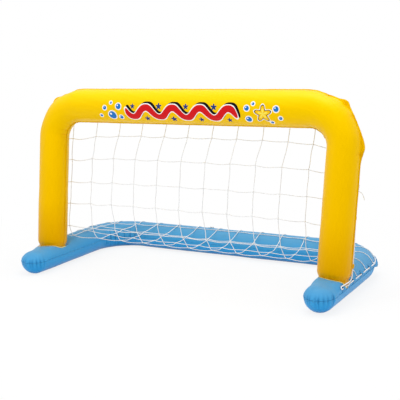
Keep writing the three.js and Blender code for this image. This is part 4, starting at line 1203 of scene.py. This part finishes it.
def rope_line():
    post_pass = post_on_arm - AXIS_HEIGHT * math.tan(LEAN)
    over_arch = np.array(both_ways(stations((0.0, post_rope_end, FINE_STEP))))
    round_base = np.array(both_ways(stations((0.0, arm_rope_end, FINE_STEP))))
    passing = PASSING_LIFT * (1 - smooth_step(np.abs(np.abs(round_base) - post_pass), 0, LOOP_WIDTH))
    lift = ROPE_OFFSET + passing

    def turn_at_foot(side):
        run = side * (post_start - seat_run - CROSSING_RISE)
        spots = [arch.beside(run, 0.0, arch_radius(run) + ROPE_OFFSET + CROSSING_LIFT)]
        for t in np.linspace(0, math.pi, TURN_STEPS)[:-1]:
            up = ROPE_TURN * (1 + math.cos(t)) / BASE_RADIUS
            spots.append(on_base(side * (arm_rope_end + ROPE_TURN * math.sin(t)), up))
        return np.vstack(spots)

    back = on_base(round_base[::-1], 0.0, lift[::-1])
    return np.vstack([on_arch(over_arch), turn_at_foot(1), back, turn_at_foot(-1)[::-1]])


def add_rope(material):
    line = catmull_rom(rope_line(), ROPE_STEP, closed=True)
    cord = tube(line, ROPE_RADIUS, ROPE_SIDES, True, ROPE_PITCH, ROPE_STRANDS, ROPE_GROOVE)
    piece = add_mesh("border_cord", *cord, material)
    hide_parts("border_rope")


# Knot that closes the border rope, with its loose tails

TIE_RADIUS = 0.0052
TIE_SHARE = 0.585
TIE_TURNS = 3
TIE_HALF_LENGTH = 0.00416
TIE_STEP = 0.001
TIE_SIDES = 8
COIL_STEPS = 60
LOCK_STEPS = 14
LOCK_HALF_LENGTH = 0.00494
# Tails: shares of their length that they stand out and drop, and how they curl and sway
TAIL_LENGTH = 0.046
TAIL_SHARES = [(0.8, 0.66), (0.3, -0.5)]
TAIL_CURL_SHARE = 0.42
TAIL_SWAY = 0.0016
TAIL_SWAY_TURN = 5
TAIL_STEPS = 16


def add_rope_knot(material):
    """Three turns of cord round the rope, locked by one across, and two curling tails."""
    place = arch.end - TIE_SHARE * POST_LENGTH
    centre = on_arch(place)[0]
    away = unit(centre - arch.at(place)[0][0])
    along = unit(on_arch(place + TIE_RADIUS)[0] - on_arch(place - TIE_RADIUS)[0])
    across = np.cross(along, away)

    def line(out, down, side=0.0):
        parts = ((out, away), (down, along), (side, across))
        return centre + sum(np.multiply.outer(share, way) for share, way in parts)

    reach = ROPE_RADIUS + TWINE_RADIUS
    turns = np.linspace(0, 2 * math.pi * TIE_TURNS, COIL_STEPS)
    rise = np.linspace(-TIE_HALF_LENGTH, TIE_HALF_LENGTH, COIL_STEPS)
    lock = np.linspace(0, math.pi, LOCK_STEPS)
    lines = [
        line(reach * np.cos(turns), rise, reach * np.sin(turns)),
        line((reach + 2 * TWINE_RADIUS) * np.sin(lock), -LOCK_HALF_LENGTH * np.cos(lock)),
    ]
    share = np.linspace(0, 1, TAIL_STEPS)
    for out_share, drop_share in TAIL_SHARES:
        out = TAIL_LENGTH * out_share * np.sin(share * math.pi * TAIL_CURL_SHARE)
        sway = TAIL_SWAY * np.sin(TAIL_SWAY_TURN * share)
        lines.append(line(reach + TWINE_RADIUS + out, TAIL_LENGTH * drop_share * share**2, sway))
    cords = [tube(catmull_rom(points, TIE_STEP), TWINE_RADIUS, TIE_SIDES) for points in lines]
    piece = add_mesh("border_cord_knot", *joined(cords), material)
    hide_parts("border_rope_knot")


# Welded loops that hold the rope

LOOP_ROWS = 7
DOME_STEPS = 12
LOOP_FOOT_STEPS = 4
LOOP_PINCH = 0.0009
# Length that a loop's uvs are given
LOOP_BAND_RUN = 0.030


def loop_band(name, spine, radius_at, distance, angle, material):
    across = np.linspace(-LOOP_WIDTH / 2, LOOP_WIDTH / 2, LOOP_ROWS)
    bridge = ROPE_RADIUS + LOOP_SLACK
    dome = np.linspace(0, math.pi, DOME_STEPS)
    sweep = np.linspace(0, 1, LOOP_FOOT_STEPS + 1)
    rows = []
    for shift in across:
        radius = radius_at(distance + shift)
        centre, out = (found[0] for found in spine.at(distance + shift)[:2])
        away = math.cos(angle) * out + math.sin(angle) * spine.normal
        side = math.cos(angle) * spine.normal - math.sin(angle) * out
        root = bridge / (radius + TOUCH)
        foot = LOOP_FOOT / (radius + TOUCH)
        turns = np.concatenate([foot * (sweep[:-1] - 1) - root, root + foot * sweep[1:]])
        reach = radius + TOUCH + FILM
        feet = centre + np.outer(reach * np.cos(turns), away) + np.outer(reach * np.sin(turns), side)
        hoop = bridge + FILM - LOOP_PINCH * (2 * shift / LOOP_WIDTH) ** 2
        rise = radius + ROPE_OFFSET + hoop * np.sin(dome)
        bow = centre + np.outer(rise, away) - np.outer(hoop * np.cos(dome), side)
        rows.append(np.vstack([feet[:LOOP_FOOT_STEPS], bow, feet[LOOP_FOOT_STEPS:]]))
    points = np.vstack(rows)
    count = len(rows[0])
    faces = grid_faces(LOOP_ROWS, count)
    faces = faced_away(points, faces, len(faces) // 2, spine.at(distance)[0][0])
    uvs = grid_uvs(np.linspace(0, LOOP_BAND_RUN, count), across)
    piece = add_mesh(name, points, faces, uvs, material)
    lap = np.ones(count)
    lap[LOOP_FOOT_STEPS:-LOOP_FOOT_STEPS] = 0
    add_attribute(piece, "lap", np.tile(lap, LOOP_ROWS))
    thicken(piece)
    return piece


def add_loops(yellow, blue):
    arch_parts = (arch, arch_radius, arch_rope_angle, yellow, "yellow_film")
    base_parts = (base, base_radius, base_rope_angle, blue, "blue_film")
    for prefix, places, (spine, radius_at, angle_at, material, slot) in (
        ("crossbar", pitched_loops, arch_parts),
        ("post", [arch_bend_loop, *post_loops], arch_parts),
        ("rear", pitched_loops, base_parts),
        ("arm", [base_bend_loop, *arm_loops], base_parts),
    ):
        for k, distance in enumerate(both_ways(places)):
            node = f"{prefix}_loop_{k + 1}"
            piece = loop_band(node + "_band", spine, radius_at, distance, angle_at(distance), material)
            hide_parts(node)


# Net

HANGING_ROWS = len(HANGING_MIDDLE_SHARES)
NET_ROWS = HANGING_ROWS + len(FLOOR_MIDDLE_SHARES)
NET_HALF_WIDTH = FOOT_HALF_SPAN - NET_INSET
NET_SEED = 7
STRAND_STEP = 0.004
STRAND_SIDES = 6
STRAND_SLACK_SHARE = 0.035
STRAND_WANDER = 0.0022
# Share of a strand's wander that its second, shorter wave has
SECOND_WANDER_SHARE = 0.5
STRAND_CLEARANCE = 0.0005
KNOT_CLEARANCE = KNOT_SIZE / math.sqrt(2) + STRAND_CLEARANCE
KNOT_STEPS = 30
KNOT_SIDES = 5
KNOT_REACH = 0.001984
KNOT_TWINE_RADIUS = 0.00104
TREFOIL_DEPTH = 1.3
FINE_LINE = 60

TUBE_LINES = []
for tube_spine, tube_end, tube_radius in ((arch, post_start, arch_radius), (base, base.end, base_radius)):
    fine_line = np.array(both_ways(list(np.linspace(0, tube_end, FINE_LINE))))
    TUBE_LINES.append((tube_spine.at(fine_line)[0], tube_radius(fine_line)))


def clear_of_tubes(points, margin):
    """Moves points out of the tubes, straight away from their axes, where they lie too near."""
    points = np.array(points, float)
    for centres, radii in TUBE_LINES:
        a, span = centres[:-1], np.diff(centres, axis=0)
        for i, point in enumerate(points):
            raw = np.einsum("ij,ij->i", point - a, span) / np.einsum("ij,ij->i", span, span)
            share = np.clip(raw, 0, 1)
            axis = a + share[:, None] * span
            gaps = np.linalg.norm(point - axis, axis=1)
            best = int(np.argmin(gaps))
            need = mix(radii[best], radii[best + 1], share[best]) + margin
            if gaps[best] < need:
                points[i] = axis[best] + (point - axis[best]) * need / gaps[best]
    return points


def behind_post(height):
    return POST_PLANE + height * math.tan(LEAN) + POST_RADIUS / math.cos(LEAN) + KNOT_SIZE


def row_places(row):
    """Middle and side places (y, z) of a row of knots, and its half width."""
    if row < HANGING_ROWS:
        middle, side = HANGING_MIDDLE_SHARES[row] * ARCH_HEIGHT, HANGING_SIDE_SHARES[row] * ARCH_HEIGHT
        belly = BELLY_SHARES[row] * NET_BELLY
        return (behind_post(middle) - belly, middle), (behind_post(side), side), NET_HALF_WIDTH
    floor = row - HANGING_ROWS
    top = AXIS_HEIGHT + BASE_RADIUS + TWINE_RADIUS + STRAND_CLEARANCE
    middle = (POST_PLANE + FLOOR_MIDDLE_SHARES[floor] * REAR_REACH, top - SAG_SHARES[floor] * NET_FLOOR_SAG)
    side = (POST_PLANE + FLOOR_SIDE_SHARES[floor] * REAR_REACH, top)
    return middle, side, ARM_HALF_SPAN - FLOOR_INSET_SHARES[floor] * BASE_RADIUS


def net_knots():
    share = np.linspace(-1, 1, NET_COLUMNS)
    curl = share**NET_CURL
    rows = []
    for row in range(NET_ROWS):
        middle, side, half = row_places(row)
        x = share * half + SKEW_SHARES[row] * NET_SKEW * (1 - curl)
        row_points = np.column_stack([x, mix(middle[0], side[0], curl), mix(middle[1], side[1], curl)])
        rows.append(clear_of_tubes(row_points, KNOT_CLEARANCE))
    return np.array(rows)


def tied_end(place, radius_at, low, high, axis, value):
    """Where a strand is tied to the rope: at a value of an axis, between two distances."""
    rising = place(high)[0][axis] > place(low)[0][axis]
    for _ in range(HALVINGS):
        middle = (low + high) / 2
        if (place(middle)[0][axis] < value) == rising:
            low = middle
        else:
            high = middle
    distance = (low + high) / 2
    turn = (ROPE_RADIUS + KNOT_CLEARANCE) / radius_at(distance)
    return place(distance, turn, KNOT_CLEARANCE)[0]


def net_ends(knots):
    bent = mix(arch.bar_end, arch.bend_end, TOP_BEND_SHARE)
    tops = [tied_end(on_arch, arch_radius, -bent, bent, 0, knot[0]) for knot in knots[0]]
    bottoms = [
        tied_end(on_base, base_radius, -base_bend_loop, base_bend_loop, 0, knot[0]) for knot in knots[-1]
    ]
    sides = []
    for row, line in enumerate(knots):
        if row < HANGING_ROWS:
            where, start, end, axis = (on_arch, arch_radius), arch.bar_end, post_start, 2
        else:
            where, start, end, axis = (on_base, base_radius), base.bar_end, post_on_arm, 1
        sides.append([
            tied_end(*where, side * start, side * end, axis, knot[axis])
            for side, knot in ((-1, line[0]), (1, line[-1]))
        ])
    return tops, bottoms, sides


def strand_line(start, end, draw):
    """A slack strand between two knots that hangs a little and wanders."""
    span = np.linalg.norm(end - start)
    count = max(int(span / STRAND_STEP), 4)
    share = np.linspace(0, 1, count + 1)
    line = start + share[:, None] * (end - start)
    level = np.hypot(*(end - start)[:2]) / span
    line[:, 2] -= STRAND_SLACK_SHARE * span * level * 4 * share * (1 - share)
    for axis in (0, 1, 2):
        wave = draw.uniform(-1, 1) * np.sin(math.pi * share)
        second = draw.uniform(-SECOND_WANDER_SHARE, SECOND_WANDER_SHARE)
        line[:, axis] += STRAND_WANDER * (wave + second * np.sin(2 * math.pi * share))
    line[1:-1] = clear_of_tubes(line[1:-1], TWINE_RADIUS + STRAND_CLEARANCE)
    return line


def knot_line(centre, draw):
    """A small closed trefoil, turned at random, as the lump of a knot."""
    t = np.linspace(0, 2 * math.pi, KNOT_STEPS, endpoint=False)
    reach = 2 + np.cos(3 * t)
    trefoil = np.array([reach * np.cos(2 * t), reach * np.sin(2 * t), TREFOIL_DEPTH * np.sin(3 * t)]).T / 3
    turn = Matrix.Rotation(draw.uniform(0, math.pi), 3, Vector((draw.random(), draw.random(), 1)))
    return centre + (trefoil * KNOT_REACH) @ np.array(turn)


def add_net(material):
    draw = random.Random(NET_SEED)
    knots = net_knots()
    tops, bottoms, sides = net_ends(knots)
    cords = []

    def strands(line):
        for a, b in zip(line, line[1:]):
            cords.append(tube(strand_line(a, b, draw), TWINE_RADIUS, STRAND_SIDES))

    def tie(points):
        for point in points:
            cords.append(tube(knot_line(point, draw), KNOT_TWINE_RADIUS, KNOT_SIDES, closed=True))

    for row in range(NET_ROWS):
        line = [sides[row][0], *knots[row], sides[row][1]]
        strands(line)
        tie(line)
    for column in range(NET_COLUMNS):
        line = [tops[column], *knots[:, column], bottoms[column]]
        strands(line)
        tie([line[0], line[-1]])
    piece = add_mesh("goal_net", *joined(cords), material)
    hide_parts("net")


# Valves

VALVE_SIDES = 48
# Valves: chamber, its tube, place along it, angle round it in degrees
VALVE_PLACES = [
    ("arch", arch, arch_radius, -0.240, 50),
    ("base", base, base_radius, -0.110, 64),
]
FLANGE_RADIUS = 0.015
FLANGE_TOP_RADIUS = 0.0123
FLANGE_RIM = 0.000825
HOLE_RADIUS = 0.006
STEM_RADIUS = 0.0054
STEM_DEPTH = 0.015
BORE_RADIUS = 0.0034
COLLAR_RADIUS = 0.0082
COLLAR = 0.0014
TONGUE_START = 0.00738
FLAP = 0.0006
FLAP_TOP_RADIUS = 0.005076
LUG = 0.003
PLUG_RADIUS = 0.0064
PLUG_HEAD = 0.0018
DIMPLE_RADIUS = 0.00352
DIMPLE_FLOOR_RADIUS = 0.00288
SPIGOT_RADIUS = 0.0026
SPIGOT_TIP_RADIUS = 0.00208
SPIGOT = 0.003
STRAP_WIDTH = 0.0032
STRAP_START = 0.00576
PLUG_PIVOT = 0.0096
ROUNDING = 0.0003
END_STEPS = 8


def rounded(profile):
    """A lathe profile of (radius, height) corners with each corner cut by a small round."""
    points = []
    count = len(profile)
    for k, corner in enumerate(profile):
        before, after = np.array(profile[k - 1]), np.array(profile[(k + 1) % count])
        corner = np.array(corner, float)
        a, b = (
            corner + unit(other - corner) * min(ROUNDING, np.linalg.norm(other - corner) / 3)
            for other in (before, after)
        )
        points += [a, corner + (a + b - 2 * corner) / 4, b]
    return np.array(points)


def lathe(profile, bend=None):
    """A closed ring of revolution about Z from a closed profile, with each point's height bent to a skin."""
    turns = 2 * math.pi * np.arange(VALVE_SIDES) / VALVE_SIDES
    count = len(profile)
    x, y = np.outer(np.cos(turns), profile[:, 0]), np.outer(np.sin(turns), profile[:, 0])
    z = profile[:, 1] + (bend(y) if bend else 0 * y)
    vertices = np.column_stack([x.ravel(), y.ravel(), z.ravel()])
    total = len(vertices)
    faces = [(a, d % total, c % total, b) for a, b, c, d in grid_faces(VALVE_SIDES + 1, count, wrap=True)]
    return vertices, faces, grid_uvs(np.arange(count) * FILM, turns * STEM_RADIUS)[:, ::-1]


def solid_disc(profile):
    """A solid of revolution from an open profile that starts and ends on the axis."""
    profile = np.array(profile, float)
    return lathe(np.vstack([profile, profile[::-1] * [0, 1]]))


def plate(outline, low, high):
    """A flat plate from an outline of (x, y) corners, with closed sides."""
    outline = np.array(outline, float)
    count = len(outline)
    vertices = np.vstack([np.column_stack([outline, np.full(count, z)]) for z in (low, high)])
    faces = [tuple(range(count))[::-1], tuple(range(count, 2 * count)), *grid_faces(2, count, wrap=True)]
    return vertices, faces, vertices[:, :2]


def rounded_end(x0, x1, half):
    """The outline of a strap along X with a round end at x1."""
    turns = np.linspace(-math.pi / 2, math.pi / 2, END_STEPS)
    end = [(x1 - half + half * math.cos(t), half * math.sin(t)) for t in turns]
    return [(x0, -half), *end, (x0, half)]


def valve_meshes(radius):
    """Meshes of a valve's parts round its own axis, for a tube of a radius."""
    flange_top = FILM + TOUCH
    collar_low = flange_top + TOUCH
    collar_top = collar_low + COLLAR
    head_low = collar_top + TOUCH
    head_top = head_low + PLUG_HEAD
    flap_top = -STEM_DEPTH - TOUCH
    flap_low = flap_top - FLAP
    spigot_low = head_low - SPIGOT
    ear_inner = STRAP_WIDTH / 2 + TOUCH
    ear_outer = ear_inner + FILM
    ear_start, ear_end = PLUG_PIVOT - LUG / 2, PLUG_PIVOT + LUG / 2

    def bent(y):
        return np.sqrt(radius**2 - y**2) - radius

    flange = lathe(rounded([
        (HOLE_RADIUS, TOUCH), (FLANGE_RADIUS, TOUCH), (FLANGE_RADIUS, FLANGE_RIM),
        (FLANGE_TOP_RADIUS, flange_top), (HOLE_RADIUS, flange_top),
    ]), bent)
    stem = lathe(rounded([
        (BORE_RADIUS, -STEM_DEPTH), (STEM_RADIUS, -STEM_DEPTH), (STEM_RADIUS, collar_low),
        (COLLAR_RADIUS, collar_low), (COLLAR_RADIUS, collar_top), (BORE_RADIUS, collar_top),
    ]))
    tongue = plate(rounded_end(TONGUE_START, ear_end, ear_outer), collar_low, collar_top)
    ears = [
        plate([(ear_start, a), (ear_end, a), (ear_end, b), (ear_start, b)], collar_top, head_top)
        for a, b in ((-ear_outer, -ear_inner), (ear_inner, ear_outer))
    ]
    flap = solid_disc([
        (0, flap_low), (FLAP_TOP_RADIUS, flap_low), (STEM_RADIUS, flap_low + FLAP / 2),
        (FLAP_TOP_RADIUS, flap_top), (0, flap_top),
    ])
    plug = solid_disc([
        (0, spigot_low), (SPIGOT_TIP_RADIUS, spigot_low), (SPIGOT_RADIUS, spigot_low + ROUNDING),
        (SPIGOT_RADIUS, head_low - ROUNDING), (SPIGOT_RADIUS + ROUNDING, head_low),
        (PLUG_RADIUS - ROUNDING, head_low), (PLUG_RADIUS, head_low + ROUNDING),
        (PLUG_RADIUS, head_top - ROUNDING), (PLUG_RADIUS - ROUNDING, head_top),
        (DIMPLE_RADIUS, head_top), (DIMPLE_FLOOR_RADIUS, head_top - ROUNDING), (0, head_top - ROUNDING),
    ])
    strap_outline = rounded_end(STRAP_START, PLUG_PIVOT + ROUNDING, STRAP_WIDTH / 2)
    strap = plate(strap_outline, head_low + FILM / 2, head_top)
    return {"flange": [flange], "stem": [stem, tongue, *ears], "flap": [flap], "plug": [plug, strap]}


def add_valves(material):
    for name, spine, radius_at, distance, angle in VALVE_PLACES:
        bodies = {"flange": "root", "stem": f"{name}_stem", "flap": f"{name}_stem", "plug": f"{name}_plug"}
        radius = radius_at(distance)
        centre, out, along = (found[0] for found in spine.at(distance))
        turn = math.radians(angle)
        away = math.cos(turn) * out + math.sin(turn) * spine.normal
        axes = np.array([along, np.cross(away, along), away])
        for part, meshes in valve_meshes(radius).items():
            vertices, faces, uvs = joined(meshes)
            vertices = centre + radius * away + vertices @ axes
            piece = add_mesh(f"{name}_valve_{part}_moulded", vertices, faces, uvs, material, bodies[part])
            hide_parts(f"{name}_valve_{part}")


# Stage: a plain pale floor, a white sky and soft lamps

FLOOR_REACH = 12.0
FLOOR_TONE = (0.88, 0.88, 0.88, 1)
FLOOR_ROUGHNESS = 0.8
PLAIN_WHITE = (1, 1, 1, 1)
# How far from the middle the floor shows shadows, and the share of plain white that it shows there
SHADOW_REACH = 0.75
SHADOW_END = 1.5
NEAR_GLOW = 0.84
AMBIENT = 0.7
# Lamps: name, place, size and power; each looks at the middle of the goal
LAMPS = [
    ("key", (-1.4, -2.4, 3.2), 2.2, 30),
    ("top", (0.3, 0.1, 3.2), 2.4, 45),
    ("side", (2.8, -1.4, 1.6), 1.6, 8),
]


def add_floor():
    """A matt floor that looks plain white to the camera and shows soft shadows near the goal."""
    mesh = bpy.data.meshes.new("floor")
    corners = [(x * FLOOR_REACH, y * FLOOR_REACH, -TOUCH) for x, y in ((-1, -1), (1, -1), (1, 1), (-1, 1))]
    mesh.from_pydata(corners, [], [(0, 1, 2, 3)])
    floor = bpy.data.objects.new("floor", mesh)
    bpy.context.scene.collection.objects.link(floor)
    tree = Tree(bpy.data.materials.new("floor_white"))
    tree.set(Base_Color=FLOOR_TONE, Roughness=FLOOR_ROUGHNESS)
    glow = tree.node("ShaderNodeEmission", Color=PLAIN_WHITE)
    away = tree.node(
        "ShaderNodeVectorMath", output="Value", settings={"operation": "LENGTH"}, i0=tree.position()
    )
    fade = tree.node(
        "ShaderNodeMapRange", settings={"interpolation_type": "SMOOTHSTEP"},
        i0=away, i1=SHADOW_REACH, i2=SHADOW_END, i3=NEAR_GLOW, i4=1.0,
    )
    seen = tree.seen_by("Is Camera Ray", "Is Glossy Ray", "Is Transmission Ray")
    mixed = tree.mix_shaders(tree.times(seen, fade), tree.shader.outputs[0], glow)
    tree.plug(tree.nodes["Material Output"].inputs["Surface"], mixed)
    mesh.materials.append(tree.owner)


def add_sky():
    """Soft light all round, which the camera sees as plain white."""
    world = bpy.data.worlds.new("studio")
    bpy.context.scene.world = world
    tree = Tree(world)
    soft = tree.node("ShaderNodeBackground", Color=PLAIN_WHITE, Strength=AMBIENT)
    white = tree.node("ShaderNodeBackground", Color=PLAIN_WHITE, Strength=1.0)
    mixed = tree.mix_shaders(tree.seen_by("Is Camera Ray", "Is Transmission Ray"), soft, white)
    tree.plug(tree.nodes["World Output"].inputs["Surface"], mixed)


def add_lamps():
    target = Vector((0, 0, (CAD_LOW[2] + CAD_HIGH[2]) / 2))
    for name, place, size, power in LAMPS:
        data = bpy.data.lights.new(name, "AREA")
        data.shape = "DISK"
        data.size = size
        data.energy = power
        lamp = bpy.data.objects.new(name, data)
        lamp.location = place
        lamp.rotation_euler = (target - Vector(place)).to_track_quat("-Z", "Y").to_euler()
        bpy.context.scene.collection.objects.link(lamp)


make_camera()
add_floor()
add_sky()
add_lamps()
bpy.context.scene.view_settings.view_transform = "Standard"
yellow_film, blue_film = add_films()
add_welds(yellow_film)
add_rope(rope_material())
twine = twine_material()
add_rope_knot(twine)
add_loops(yellow_film, blue_film)
add_net(twine)
add_valves(vinyl_material())
